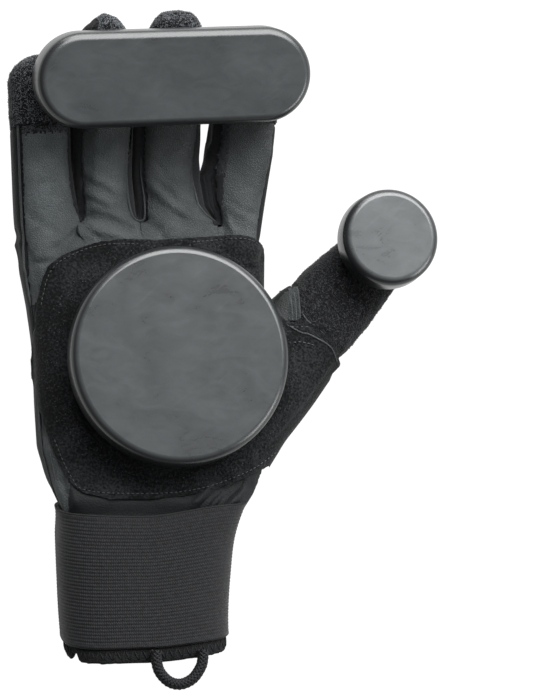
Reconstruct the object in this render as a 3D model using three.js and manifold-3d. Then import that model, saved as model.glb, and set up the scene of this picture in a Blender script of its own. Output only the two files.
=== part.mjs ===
// Longboard slide glove for the right hand, lying on its back with the palm up.
// Millimetres. +X points to the thumb side, +Y to the fingertips and +Z up from the surface it lies on.
// The sizes below are measured from a point on that surface under the middle of the palm puck.
// At the end the whole glove is moved so that its origin is under the middle of its own box.
import * as THREE from "three";
import { mergeVertices } from "three/addons/utils/BufferGeometryUtils.js";
import Module from "manifold-3d";

const wasm = await Module();
wasm.setup();

// Walls and clearances
const GAP = 0.3; // between two pieces that touch
const LEATHER = 1.8; // wall of the leather hand
const PILE = 0.8; // how far the loop fabric stands above the leather
const PATCH = 1.6; // suede patch on the palm
const ELASTIC = 1.8; // wrist band
const HEM = 2.6; // folded edge at the wrist

// Pucks and the hook pads that hold them
const PUCK_HEIGHT = 14;
const PUCK_EDGE = 3; // rounding of the sliding edge
const PUCK_DRAFT = 0.5; // how much narrower the top is than the foot
const HOOK_HEIGHT = 2;
const PALM_PUCK_RADIUS = 43.6;
const THUMB_PUCK_RADIUS = 19.5;
const FINGER_PUCK_RADIUS = 18.8;
const FINGER_PUCK_STRAIGHT = 72.4; // distance between the centres of its round ends
const FINGER_PUCK_TURN = THREE.MathUtils.degToRad(4.8);
const HOOK_INSET = 2; // how much smaller a hook pad is than its puck, all round
const FINGER_HOOK_SHIFT = new THREE.Vector2(3, -3); // it was stuck on a little low, so an edge peeps out

// The plane that the four fingertips share under the finger puck
const FINGER_SEAT = { x: -5, y: 112.5, z: 41.8, riseAlongY: Math.tan(0.28), fallAlongX: Math.tan(0.105) };
const KNUCKLE = { y: 48, top: 28 }; // where the fingers start to curl up
const SEAT_START_Y = 90; // from here on the fingers are straight

// Hand sections from the wrist to the knuckles: y of the section, its left and right side, its bottom and
// top, and its rake, the amount that it leans back towards the wrist for each millimetre of height.
const PALM_SECTIONS = [
  { y: -116, left: -39.6, right: 21.8, bottom: 2.2, top: 37.0, rake: 0.28 },
  { y: -100, left: -41.2, right: 21.4, bottom: 2.2, top: 37.0, rake: 0.28 },
  { y: -84, left: -42.2, right: 22.4, bottom: 2.2, top: 37.0, rake: 0.3 },
  { y: -70, left: -42.9, right: 24.2, bottom: 2.2, top: 37.0, rake: 0.34 },
  { y: -58, left: -43.2, right: 28.6, bottom: 2.2, top: 36.4, rake: 0.34 },
  { y: -47, left: -48.5, right: 36.3, bottom: 2.0, top: 31.9, rake: 0.2 },
  { y: -34, left: -52.3, right: 41.5, bottom: 0, top: 31.8, rake: 0.05 },
  { y: -16, left: -53.6, right: 41.0, bottom: 0, top: 31.8, rake: 0 },
  { y: 4, left: -54.6, right: 39.0, bottom: 0, top: 31.8, rake: 0 },
  { y: 22, left: -57.2, right: 36.8, bottom: 0, top: 31.6, rake: 0 },
  { y: 36, left: -60.0, right: 37.2, bottom: 0, top: 30.4, rake: 0 },
  { y: 47, left: -61.2, right: 37.6, bottom: 0.8, top: 28.4, rake: 0 },
  { y: 54, left: -59.5, right: 36.4, bottom: 3.6, top: 26.6, rake: 0 },
  { y: 58, left: -57.0, right: 34.0, bottom: 7.0, top: 24.0, rake: 0 },
];
const PALM_SQUARENESS = 3.2; // 2 is an ellipse, more is closer to a box
const PALM_SIDES = 24;
const FLATTENED = 1.6; // how far the back would bulge below the surface if it did not lie on it
const RAKE_HEIGHT = 18; // height at which a raked section passes through its y
const PALM_TOP = 31.8;
const WRIST_OVERRUN = 14; // the hollow runs this far out past the wrist

// Fingers, straight in plan: middle line at the start and at the tip, half widths at the start, below the
// puck and at the tip, and where the loop fabric starts.
const FINGER_START_Y = 40;
const FINGERS = [
  { name: "pinky", startX: -46.65, tipX: -55.1, tipY: 118.5, halves: [12.7, 12.3, 11.8], loopFromY: 92 },
  { name: "ring", startX: -22.0, tipX: -29.4, tipY: 135.5, halves: [12.0, 12.9, 9.8], loopFromY: 100 },
  { name: "middle", startX: 3.3, tipX: -1.2, tipY: 139.0, halves: [13.2, 13.4, 11.0], loopFromY: 101 },
  { name: "index", startX: 25.9, tipX: 31.2, tipY: 127.0, halves: [9.6, 13.3, 11.6], loopFromY: 99 },
];
const FINGER_SQUARENESS = 2.5;
const FINGER_SIDES = 14;
const FINGER_STEPS = 5;
const FINGER_THICK = { start: 26, tip: 19.5 };
const TIP_ROUND = 10; // length of a rounded fingertip
const TIP_STEPS = [0.45, 0.8, 0.97]; // shares of that length at which a tip has a section

// Thumb: a straight axis in plan, with sections at distances along it from a point below its puck
const THUMB_POINT = new THREE.Vector2(74.8, 34.8);
const THUMB_ANGLE = THREE.MathUtils.degToRad(47.5); // above the X axis
const THUMB_SECTIONS = [
  { along: -90, half: 22.5, bottom: 1.6, top: 30.8 },
  { along: -72, half: 22.2, bottom: 0, top: 31.6 },
  { along: -50, half: 20.6, bottom: 0, top: 31.6 },
  { along: -34, half: 18.4, bottom: 0.6, top: 31.0 },
  { along: -18, half: 17.2, bottom: 1.8, top: 29.6 },
  { along: -4, half: 15.8, bottom: 3.0, top: 28.6 },
  { along: 10, half: 14.0, bottom: 4.2, top: 28.6 },
  { along: 19, half: 12.6, bottom: 5.2, top: 28.6 },
];
const THUMB_TIP = 31;
const THUMB_SQUARENESS = 2.7;
const THUMB_SIDES = 16;
const THUMB_LOOP_FROM = -28; // along the axis
const THUMB_LOOP_INNER_X = 51; // nearer the palm than this the thumb is leather
const THUMB_PUCK_CENTRE = new THREE.Vector2(85.2, 50.2);

// Seams. The palm leather reaches this far down from the top of the hand, and on the fingers the back
// reaches as far up from below.
const SEAM_DROP = { palm: 9.5, finger: 3.8, fromY: 36, toY: 60 };

// Outline of the suede patch seen from above. It runs out over the edge of the hand at the thumb's crotch
// and heel.
const PATCH_OUTLINE = [
  { x: -52.6, y: 8 },
  { x: -50.6, y: 27 },
  { x: -44.5, y: 40 },
  { x: -30, y: 47.4 },
  { x: -1.5, y: 49 },
  { x: 25, y: 52 },
  { x: 36, y: 50 },
  { x: 46, y: 42 },
  { x: 44, y: 30 },
  { x: 42.5, y: 21 },
  { x: 47.5, y: 16.5 },
  { x: 58, y: 16 },
  { x: 70, y: 7 },
  { x: 77, y: -4 },
  { x: 64, y: -26 },
  { x: 47, y: -35 },
  { x: 29.5, y: -46.2 },
  { x: 3, y: -54.4 },
  { x: -33, y: -54.6 },
  { x: -42.5, y: -47 },
  { x: -50, y: -27 },
  { x: -53, y: -8 },
];
const PATCH_OUTLINE_STEPS = 52;

// Wrist band and hem
const BAND = { topY: -57.6, bottomY: -108.8, topRake: 0.25, bottomRake: 0.25 };
const HEM_COVERED = 3; // how much of the hem lies under the band
const HEM_END_Y = -114.6;
const HEM_NOTCH = { x: -37.5, y: -119, width: 5, depth: 10 }; // slit at the little finger's side

// Pull loop: a braided cord sewn under the band, lying over the hem
const CORD = 4; // diameter
const CORD_SIDES = 8;
const CORD_ROUTE = [
  { x: -7.6, y: -114.8, z: 39.6 },
  { x: -7.6, y: -118.6, z: 39.6 },
  { x: -6.2, y: -123, z: 39.3 },
  { x: -2.4, y: -126.7, z: 38.8 },
  { x: 2.2, y: -127.6, z: 38.5 },
  { x: 6.7, y: -125.4, z: 38.4 },
  { x: 9.6, y: -121, z: 38.4 },
  { x: 10.4, y: -117.6, z: 38.4 },
  { x: 10.4, y: -114.5, z: 38.4 },
];
const CORD_STEPS = 22;

const up = new THREE.Vector3(0, 0, 1);
const thumbWay = new THREE.Vector2(Math.cos(THUMB_ANGLE), Math.sin(THUMB_ANGLE));
const ceiling = 90; // above everything

const signedPower = (value, power) => Math.sign(value) * Math.abs(value) ** power;

// One section of a soft form: a rounded oval across the form, leaning back by its rake.
function oval({ centre, across, halfWidth, halfHeight, squareness, sides, rake = 0 }) {
  return Array.from({ length: sides }, (_, k) => {
    const angle = (2 * Math.PI * k) / sides;
    const side = halfWidth * signedPower(Math.cos(angle), 2 / squareness);
    const lift = halfHeight * signedPower(Math.sin(angle), 2 / squareness);
    const z = centre.z + lift;
    return new THREE.Vector3(
      centre.x + across.x * side,
      centre.y + across.y * side - rake * (z - RAKE_HEIGHT),
      z,
    );
  });
}

function solidFrom(positions, triangles) {
  const mesh = new wasm.Mesh({
    numProp: 3,
    vertProperties: new Float32Array(positions),
    triVerts: new Uint32Array(triangles),
  });
  return new wasm.Manifold(mesh);
}

function solidOfGeometry(geometry) {
  geometry.deleteAttribute("normal");
  geometry.deleteAttribute("uv");
  const merged = mergeVertices(geometry, 1e-4);
  return solidFrom(merged.getAttribute("position").array, merged.index.array);
}

// A closed solid through sections that all have the same number of points.
function loft(sections) {
  const sides = sections[0].length;
  const middle = (section) =>
    section.reduce((sum, p) => sum.add(p), new THREE.Vector3()).divideScalar(sides);
  const last = sections.length - 1;
  const points = [...sections.flat(), middle(sections[0]), middle(sections[last])];
  const startPole = points.length - 2;
  const endPole = points.length - 1;
  const triangles = [];
  for (let k = 0; k < sides; k++) {
    const next = (k + 1) % sides;
    for (let row = 0; row < last; row++) {
      const a = row * sides + k;
      const b = row * sides + next;
      triangles.push(a, b + sides, b, a, a + sides, b + sides);
    }
    triangles.push(startPole, k, next, endPole, last * sides + next, last * sides + k);
  }
  return solidFrom(
    points.flatMap((p) => [p.x, p.y, p.z]),
    triangles,
  );
}

// The space above a surface z = height(x, y), over the whole glove.
function spaceAbove(height) {
  const box = new THREE.BoxGeometry(240, 320, 1, 12, 28, 1).translate(20, 5, 0);
  const position = box.getAttribute("position");
  for (let i = 0; i < position.count; i++) {
    const low = position.getZ(i) < 0;
    position.setZ(i, low ? height(position.getX(i), position.getY(i)) : ceiling);
  }
  return solidOfGeometry(box);
}

// A straight-sided space over an outline drawn in plan, from bottom to top.
function prism(outline, bottom = -20, top = ceiling) {
  const shape = new THREE.Shape(outline.map((p) => new THREE.Vector2(p.x, p.y)));
  const geometry = new THREE.ExtrudeGeometry(shape, { depth: top - bottom, bevelEnabled: false });
  return solidOfGeometry(geometry.translate(0, 0, bottom));
}

// Everything on the far side of a line in plan, which passes through a point square to way.
function beyond(point, way) {
  const far = 260;
  const across = new THREE.Vector2(way.y, -way.x);
  const corner = (side, out) =>
    point.clone().addScaledVector(across, side * far).addScaledVector(way, out * far);
  return prism([corner(-1, 0), corner(1, 0), corner(1, 1), corner(-1, 1)].reverse());
}

// Height of the top of the fingers: level at the knuckles, then a smooth rise onto the puck's plane.
function fingerTop(x, y) {
  const { z, riseAlongY, fallAlongX } = FINGER_SEAT;
  const seat = (atY) => z + (atY - FINGER_SEAT.y) * riseAlongY - (x - FINGER_SEAT.x) * fallAlongX;
  if (y <= KNUCKLE.y) return KNUCKLE.top;
  if (y >= SEAT_START_Y) return seat(y);
  const span = SEAT_START_Y - KNUCKLE.y;
  const t = (y - KNUCKLE.y) / span;
  const rise = seat(SEAT_START_Y) - KNUCKLE.top;
  const endSlope = riseAlongY * span;
  return KNUCKLE.top + rise * t * t * (3 - 2 * t) + endSlope * t * t * (t - 1);
}

const fingerThickness = (y) =>
  THREE.MathUtils.mapLinear(
    THREE.MathUtils.clamp(y, KNUCKLE.y, SEAT_START_Y),
    KNUCKLE.y,
    SEAT_START_Y,
    FINGER_THICK.start,
    FINGER_THICK.tip,
  );

function palmForm(grow) {
  const end = grow < 0 ? -WRIST_OVERRUN : 0; // a hollow runs out of the wrist
  const rows = PALM_SECTIONS.map((row, i) => {
    const atKnuckles = i === PALM_SECTIONS.length - 1;
    const bottom = row.bottom - grow;
    const top = row.top + grow;
    const middle = (row.bottom + row.top) / 2;
    return oval({
      centre: new THREE.Vector3(
        (row.left + row.right) / 2,
        row.y + (i === 0 ? end : 0) + (atKnuckles ? grow : 0),
        middle,
      ),
      across: new THREE.Vector2(1, 0),
      halfWidth: (row.right - row.left) / 2 + grow,
      halfHeight: top - middle,
      squareness: PALM_SQUARENESS,
      sides: PALM_SIDES,
      rake: row.rake,
    }).map((p) => (p.z < middle ? p.setZ(flattenedBack(p.z, middle, top, bottom)) : p));
  });
  return loft(rows);
}

// The back bulges a little more than the palm, and what would bulge below its bottom lies flat.
function flattenedBack(z, middle, top, bottom) {
  const share = (middle - z) / (top - middle);
  return Math.max(middle - share * (middle - bottom + FLATTENED), bottom);
}

const fingerWay = (finger) =>
  new THREE.Vector2(finger.tipX - finger.startX, finger.tipY - FINGER_START_Y).normalize();

// A point on a finger's middle line in plan, at a given y.
const fingerX = (finger, y) =>
  THREE.MathUtils.mapLinear(y, FINGER_START_Y, finger.tipY, finger.startX, finger.tipX);

function fingerHalf({ halves: [start, below, tip], tipY }, y) {
  const lower = y < SEAT_START_Y;
  return lower
    ? THREE.MathUtils.mapLinear(y, FINGER_START_Y, SEAT_START_Y, start, below)
    : THREE.MathUtils.mapLinear(y, SEAT_START_Y, tipY, below, tip);
}

function fingerForm(finger, grow) {
  const way = fingerWay(finger);
  const across = new THREE.Vector2(way.y, -way.x);
  const roundFromY = finger.tipY - TIP_ROUND;
  const section = (y, outward, scale) => {
    const thick = fingerThickness(y);
    const x = fingerX(finger, y);
    const half = fingerHalf(finger, y);
    const crest = fingerTop(x, y);
    return oval({
      centre: new THREE.Vector3(x + way.x * outward, y + way.y * outward, crest - thick / 2),
      across,
      halfWidth: (half + grow) * scale,
      halfHeight: (thick / 2 + grow) * scale,
      squareness: FINGER_SQUARENESS,
      sides: FINGER_SIDES,
    });
  };
  const rows = [];
  for (let step = 0; step <= FINGER_STEPS; step++) {
    rows.push(section(THREE.MathUtils.lerp(FINGER_START_Y, roundFromY, step / FINGER_STEPS), 0, 1));
  }
  for (const share of TIP_STEPS) {
    rows.push(section(roundFromY + share * TIP_ROUND, share * grow, Math.sqrt(1 - share * share)));
  }
  return loft(rows);
}

function thumbForm(grow) {
  const across = new THREE.Vector2(thumbWay.y, -thumbWay.x);
  const section = (along, half, bottom, top, scale) => {
    const at = THUMB_POINT.clone().addScaledVector(thumbWay, along);
    return oval({
      centre: new THREE.Vector3(at.x, at.y, (bottom + top) / 2),
      across,
      halfWidth: (half + grow) * scale,
      halfHeight: ((top - bottom) / 2 + grow) * scale,
      squareness: THUMB_SQUARENESS,
      sides: THUMB_SIDES,
    });
  };
  const rows = THUMB_SECTIONS.map((row) => section(row.along, row.half, row.bottom, row.top, 1));
  const last = THUMB_SECTIONS[THUMB_SECTIONS.length - 1];
  const round = THUMB_TIP - last.along;
  for (const share of TIP_STEPS) {
    const along = last.along + share * (round + grow);
    rows.push(section(along, last.half, last.bottom, last.top, Math.sqrt(1 - share * share)));
  }
  return loft(rows);
}

// The whole hand, grown outwards by a distance, or shrunk by a negative one.
const handForm = (grow) =>
  FINGERS.reduce((hand, finger) => hand.add(fingerForm(finger, grow)), palmForm(grow).add(thumbForm(grow)));

// Height of the seam between the palm leather and what is below it.
function seamHeight(x, y) {
  const share = THREE.MathUtils.smoothstep(y, SEAM_DROP.fromY, SEAM_DROP.toY);
  const top = THREE.MathUtils.lerp(PALM_TOP, fingerTop(x, y), share);
  return top - THREE.MathUtils.lerp(SEAM_DROP.palm, SEAM_DROP.finger, share);
}

// Height of the seam between the finger sides and the back.
const backSeamHeight = (x, y) => fingerTop(x, y) - fingerThickness(y) + SEAM_DROP.finger;

// A band round the wrist is cut off square to the raked sections.
function wristBeyond(y, rake) {
  const far = 200;
  const lean = (z) => y - rake * (z - RAKE_HEIGHT);
  const low = -40;
  const box = new THREE.BoxGeometry(240, 1, 1).translate(0, 0.5, 0.5);
  const position = box.getAttribute("position");
  for (let i = 0; i < position.count; i++) {
    const z = position.getZ(i) > 0.5 ? ceiling : low;
    const near = lean(z);
    position.setXYZ(i, position.getX(i), position.getY(i) > 0.5 ? near : near - far, z);
  }
  return solidOfGeometry(box);
}

const outer = handForm(0);
const inner = handForm(-LEATHER);
const wall = outer.subtract(inner);

// What the loop fabric takes from each finger and from the thumb
const fingerSpaces = FINGERS.map((finger, i) => {
  const way = fingerWay(finger);
  const from = new THREE.Vector2(fingerX(finger, finger.loopFromY), finger.loopFromY);
  const edgeX = (other, y) => (fingerX(finger, y) + fingerX(other, y)) / 2;
  const far = { low: 60, high: 170 };
  const side = (neighbour, farX) =>
    neighbour ? [edgeX(neighbour, far.low), edgeX(neighbour, far.high)] : [farX, farX];
  const [leftLow, leftHigh] = side(FINGERS[i - 1], -100);
  const [rightLow, rightHigh] = side(FINGERS[i + 1], 56);
  const lane = prism([
    { x: leftLow, y: far.low },
    { x: rightLow, y: far.low },
    { x: rightHigh, y: far.high },
    { x: leftHigh, y: far.high },
  ]);
  const cut = (clear) => lane.intersect(beyond(from.clone().addScaledVector(way, clear), way));
  return { loop: cut(GAP / 2), notLeather: cut(-GAP / 2) };
});

const thumbFrom = THUMB_POINT.clone().addScaledVector(thumbWay, THUMB_LOOP_FROM);
const outOfPalm = new THREE.Vector2(1, 0);
const thumbSpace = (clear) =>
  beyond(thumbFrom.clone().addScaledVector(thumbWay, clear), thumbWay).intersect(
    beyond(new THREE.Vector2(THUMB_LOOP_INNER_X + clear, 0), outOfPalm),
  );

const hemCutY = BAND.bottomY + HEM_COVERED;
const notHand = fingerSpaces
  .reduce((all, space) => all.add(space.notLeather), thumbSpace(-GAP / 2))
  .add(wristBeyond(hemCutY + GAP, BAND.bottomRake));
const leather = wall.subtract(notHand);

// The sides of neighbouring fingers, between their middle lines
function fingerGap(left, right, clear = 0) {
  const low = KNUCKLE.y - 6;
  const high = 130;
  return prism([
    { x: fingerX(left, low) - clear, y: low },
    { x: fingerX(right, low) + clear, y: low },
    { x: fingerX(right, high) + clear, y: high },
    { x: fingerX(left, high) - clear, y: high },
  ]);
}

const half = GAP / 2;
const palmSide = leather.intersect(spaceAbove((x, y) => seamHeight(x, y) + half));
const backAndSides = leather.subtract(spaceAbove((x, y) => seamHeight(x, y) - half));
const sidesOnly = backAndSides.intersect(spaceAbove((x, y) => backSeamHeight(x, y) + half));
const betweenFingers = fingerGap(FINGERS[0], FINGERS[3]);
const backSide = backAndSides.subtract(
  spaceAbove((x, y) => backSeamHeight(x, y) - half).intersect(betweenFingers),
);

function patchSolid() {
  const curve = new THREE.CatmullRomCurve3(
    PATCH_OUTLINE.map((p) => new THREE.Vector3(p.x, p.y, 0)),
    true,
    "centripetal",
  );
  const outline = curve.getPoints(PATCH_OUTLINE_STEPS).slice(0, -1).reverse();
  const skin = handForm(GAP + PATCH).subtract(handForm(GAP));
  return skin
    .intersect(prism(outline))
    .intersect(spaceAbove((x, y) => seamHeight(x, y) - SEAM_DROP.finger))
    .subtract(thumbSpace(-GAP / 2));
}

// A puck or pad: a disc, or a bar with round ends, built up from sections of a given inset and height.
function stack(straight, radius, levels) {
  const arc = 18;
  const section = ({ inset, z }) =>
    Array.from({ length: 2 * arc }, (_, k) => {
      const end = k < arc ? 1 : -1;
      const start = (-end * Math.PI) / 2;
      const angle = start + (Math.PI * (k % arc)) / (straight ? arc - 1 : arc);
      const r = radius - inset;
      return new THREE.Vector3((end * straight) / 2 + r * Math.cos(angle), r * Math.sin(angle), z);
    });
  return loft(levels.map(section).reverse());
}

const puckLevels = [
  { inset: 0.8, z: 0 },
  { inset: 0, z: 0.9 },
  { inset: PUCK_DRAFT, z: PUCK_HEIGHT - PUCK_EDGE },
  ...[30, 60, 90].map((degrees) => {
    const angle = THREE.MathUtils.degToRad(degrees);
    return {
      inset: PUCK_DRAFT + PUCK_EDGE * (1 - Math.cos(angle)),
      z: PUCK_HEIGHT - PUCK_EDGE * (1 - Math.sin(angle)),
    };
  }),
];
const puck = (straight, radius) => stack(straight, radius, puckLevels);
const hookPad = (straight, radius) =>
  stack(straight, radius - HOOK_INSET, [
    { inset: 0, z: 0 },
    { inset: 0, z: HOOK_HEIGHT },
  ]);

const bandOuter = palmForm(GAP + ELASTIC);
const bandSpace = wristBeyond(BAND.topY, BAND.topRake).subtract(wristBeyond(BAND.bottomY, BAND.bottomRake));
const band = bandOuter.subtract(palmForm(GAP)).intersect(bandSpace);

function hemSolid() {
  const ring = palmForm(0).subtract(palmForm(-HEM));
  const ends = wristBeyond(hemCutY, BAND.bottomRake).subtract(wristBeyond(HEM_END_Y, BAND.bottomRake));
  const { x, y, width, depth } = HEM_NOTCH;
  const notch = prism(
    [
      { x: x - width, y: y - depth },
      { x: x + width, y: y - depth },
      { x: x + 0.4, y: y + depth / 2 },
      { x: x - 0.4, y: y + depth / 2 },
    ],
    RAKE_HEIGHT,
  );
  return ring.intersect(ends).subtract(notch);
}

function cordGeometry() {
  const route = new THREE.CatmullRomCurve3(
    CORD_ROUTE.map((p) => new THREE.Vector3(p.x, p.y, p.z)),
    false,
    "centripetal",
  );
  const section = new THREE.Shape(
    Array.from({ length: CORD_SIDES }, (_, k) => {
      const angle = (2 * Math.PI * k) / CORD_SIDES;
      return new THREE.Vector2((CORD / 2) * Math.cos(angle), (CORD / 2) * Math.sin(angle));
    }),
  );
  return new THREE.ExtrudeGeometry(section, { steps: CORD_STEPS, extrudePath: route });
}

function geometryOf(solid) {
  const { vertProperties, triVerts } = solid.getMesh();
  return new THREE.BufferGeometry()
    .setAttribute("position", new THREE.BufferAttribute(new Float32Array(vertProperties), 3))
    .setIndex(new THREE.BufferAttribute(new Uint32Array(triVerts), 1));
}

const finish = (color, roughness) => new THREE.MeshStandardMaterial({ color, roughness, metalness: 0 });
const grainLeather = finish("#33363a", 0.55);
const backLeather = finish("#1f2123", 0.7);
const sideSuede = finish("#16171a", 0.95);
const loopFabric = finish("#1b1c1e", 1);
const palmSuede = finish("#141517", 0.95);
const elasticWebbing = finish("#1d1e20", 0.85);
const hemKnit = finish("#191a1c", 0.95);
const braid = finish("#26272a", 0.85);
const puckPlastic = finish("#4a4d50", 0.45);
const hookTape = finish("#0e0f10", 0.9);

const glove = new THREE.Group();

function addPiece(name, shape, material, parent = glove) {
  const geometry = shape.isBufferGeometry ? shape : geometryOf(shape);
  geometry.computeVertexNormals();
  const mesh = new THREE.Mesh(geometry, material);
  mesh.name = name;
  parent.add(mesh);
  return mesh;
}

addPiece("palm_panel", palmSide, grainLeather);
addPiece("back_panel", backSide, backLeather);
FINGERS.slice(1).forEach((finger, i) => {
  const side = sidesOnly.intersect(fingerGap(FINGERS[i], finger));
  addPiece(`side_strip_${FINGERS[i].name}_${finger.name}`, side, sideSuede);
});
FINGERS.forEach((finger, i) => {
  const cap = fingerForm(finger, PILE).subtract(inner).intersect(fingerSpaces[i].loop);
  addPiece(`${finger.name}_loop_cap`, cap, loopFabric);
});
addPiece("thumb_loop_cap", thumbForm(PILE).subtract(inner).intersect(thumbSpace(GAP / 2)), loopFabric);
addPiece("palm_patch", patchSolid(), palmSuede);
addPiece("wrist_band", band, elasticWebbing);
addPiece("wrist_hem", hemSolid(), hemKnit);
const pullLoop = addPiece("pull_loop", cordGeometry(), braid);

// Each puck stands on its hook pad in a group of its own, which is set on the soft surface below it.
function addPuck(name, straight, radius, seat, hookShift = new THREE.Vector2()) {
  const pad = addPiece(`${name}_hook`, hookPad(straight, radius), hookTape, seat);
  pad.position.set(hookShift.x, hookShift.y, GAP);
  const body = addPiece(`${name}_puck`, puck(straight, radius), puckPlastic, seat);
  body.position.z = 2 * GAP + HOOK_HEIGHT;
  glove.add(seat);
}

const palmSeat = new THREE.Group();
palmSeat.position.set(0, 0, PALM_TOP + GAP + PATCH);
addPuck("palm", 0, PALM_PUCK_RADIUS, palmSeat);

const thumbSeat = new THREE.Group();
const thumbTop = THUMB_SECTIONS[THUMB_SECTIONS.length - 1].top;
thumbSeat.position.set(THUMB_PUCK_CENTRE.x, THUMB_PUCK_CENTRE.y, thumbTop + PILE);
addPuck("thumb", 0, THUMB_PUCK_RADIUS, thumbSeat);

const fingerSeat = new THREE.Group();
const seatNormal = new THREE.Vector3(FINGER_SEAT.fallAlongX, -FINGER_SEAT.riseAlongY, 1).normalize();
fingerSeat.position.set(FINGER_SEAT.x, FINGER_SEAT.y, FINGER_SEAT.z + PILE / seatNormal.z);
fingerSeat.quaternion
  .setFromUnitVectors(up, seatNormal)
  .multiply(new THREE.Quaternion().setFromAxisAngle(up, FINGER_PUCK_TURN));
addPuck("finger", FINGER_PUCK_STRAIGHT, FINGER_PUCK_RADIUS, fingerSeat, FINGER_HOOK_SHIFT);

// Put the origin under the middle of the glove, measured without the free pull loop.
const box = new THREE.Box3();
glove.updateMatrixWorld(true);
glove.traverse((piece) => {
  if (piece.isMesh && piece !== pullLoop) box.expandByObject(piece, true);
});
const middle = box.getCenter(new THREE.Vector3());
glove.position.set(-middle.x, -middle.y, -box.min.z);

export default glove;
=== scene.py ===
import math

import bpy
import numpy as np
from mathutils import Matrix, Vector
from mathutils.bvhtree import BVHTree


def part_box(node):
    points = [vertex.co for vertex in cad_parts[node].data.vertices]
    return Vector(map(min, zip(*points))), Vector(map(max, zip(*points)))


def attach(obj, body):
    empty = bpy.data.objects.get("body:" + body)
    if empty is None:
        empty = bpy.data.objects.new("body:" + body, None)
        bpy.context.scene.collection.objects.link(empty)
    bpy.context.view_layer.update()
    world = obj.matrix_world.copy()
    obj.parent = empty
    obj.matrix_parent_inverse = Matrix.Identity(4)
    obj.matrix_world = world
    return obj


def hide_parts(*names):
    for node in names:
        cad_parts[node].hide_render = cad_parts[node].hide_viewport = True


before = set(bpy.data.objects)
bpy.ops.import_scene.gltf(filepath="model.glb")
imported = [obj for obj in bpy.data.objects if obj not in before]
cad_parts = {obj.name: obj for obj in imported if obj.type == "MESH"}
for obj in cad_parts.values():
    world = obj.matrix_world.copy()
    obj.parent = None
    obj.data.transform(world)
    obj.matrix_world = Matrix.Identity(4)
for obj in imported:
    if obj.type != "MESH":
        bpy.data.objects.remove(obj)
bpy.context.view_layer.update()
bpy.ops.object.select_all(action="DESELECT")

# Studio: a white sweep in a pale room under three soft lights, a wide one beyond the fingertips on the
# thumb's side, a small one low beside the thumb and a long strip low behind the fingertips. The camera looks
# down on the palm, a little from the left and from the wrist.
PUCK_LOW, PUCK_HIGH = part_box("palm_puck")
PUCK_MIDDLE = np.array([(PUCK_LOW[0] + PUCK_HIGH[0]) / 2, (PUCK_LOW[1] + PUCK_HIGH[1]) / 2, 0.0])


def place(points_mm):
    """Millimetres from the point under the middle of the palm puck, as metres in the frame."""
    return np.asarray(points_mm, float) / 1000 + PUCK_MIDDLE


def linear(hex_colour):
    """An sRGB hex colour as linear red, green, blue and alpha."""
    parts = [int(hex_colour[i : i + 2], 16) / 255 for i in (1, 3, 5)]
    return [c / 12.92 if c <= 0.04045 else ((c + 0.055) / 1.055) ** 2.4 for c in parts] + [1.0]


def add(tree, kind, inputs=None, **settings):
    """Adds a shader node. An input is a value, or another node's output socket, which is linked to it."""
    made = tree.nodes.new("ShaderNode" + kind)
    for key, value in settings.items():
        setattr(made, key, value)
    for key, value in (inputs or {}).items():
        if isinstance(value, bpy.types.NodeSocket):
            tree.links.new(value, made.inputs[key])
        else:
            made.inputs[key].default_value = value
    return made


def new_material(name):
    made = bpy.data.materials.new(name)
    made.use_nodes = True
    made.node_tree.nodes.clear()
    return made, made.node_tree


SENSOR = 36.0
FRAME_HIGH, FOCAL_PIXELS = 700, 2750  # the picture's height and the lens, in pixels
eye = Vector(place([-169.1, -134.0, 1101.1]))
aim = Vector(place([39.09, 5.15, 30.0]))
back = (eye - aim).normalized()
right = Vector((0, 1, 0)).cross(back).normalized()
up = back.cross(right)
camera = bpy.data.objects.new("camera", bpy.data.cameras.new("camera"))
camera.matrix_world = Matrix((right, up, back)).transposed().to_4x4()
camera.location = eye
camera.data.sensor_width = SENSOR
camera.data.lens = SENSOR * FOCAL_PIXELS / FRAME_HIGH
camera.data.clip_end = 10
bpy.context.scene.collection.objects.link(camera)
bpy.context.scene.camera = camera

bpy.ops.mesh.primitive_plane_add(size=6)
floor = bpy.context.object
floor.name = "white_floor"
sweep_paper, tree = new_material("matt_white_paper")
shader = add(
    tree,
    "BsdfPrincipled",
    {
        "Base Color": linear("#2a2a2a"),
        "Roughness": 0.9,
        "Emission Color": linear("#ffffff"),
        "Emission Strength": 1.0,
    },
)
add(tree, "OutputMaterial", {"Surface": shader.outputs[0]})
floor.data.materials.append(sweep_paper)

for name, at, wide, deep, power in (
    ("key_softbox", (0.62, 1.63, 1.60), 3.0, 2.0, 205),
    ("thumb_side_softbox", (1.45, -0.7, 0.55), 0.9, 0.6, 14),
    ("far_strip_softbox", (0.2, 1.9, 0.5), 2.4, 0.5, 26),
):
    lamp = bpy.data.lights.new(name, "AREA")
    lamp.shape = "RECTANGLE"
    lamp.size = wide
    lamp.size_y = deep
    lamp.energy = power
    holder = bpy.data.objects.new(name, lamp)
    holder.location = at
    holder.rotation_euler = (Vector((0, 0, 0.03)) - Vector(at)).to_track_quat("-Z", "Y").to_euler()
    bpy.context.scene.collection.objects.link(holder)
world = bpy.data.worlds.new("dim_room")
bpy.context.scene.world = world
world.use_nodes = True
tree = world.node_tree
around = add(tree, "TexCoord")
lift = add(tree, "SeparateXYZ", {0: around.outputs["Generated"]})
glow = add(tree, "MapRange", {0: lift.outputs["Z"], 1: 0.1, 2: 1.0, 3: 0.05, 4: 0.6})
tree.nodes["Background"].inputs["Color"].default_value = linear("#f4f6f8")
tree.links.new(glow.outputs[0], tree.nodes["Background"].inputs["Strength"])
bpy.context.scene.view_settings.view_transform = "Standard"

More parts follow.
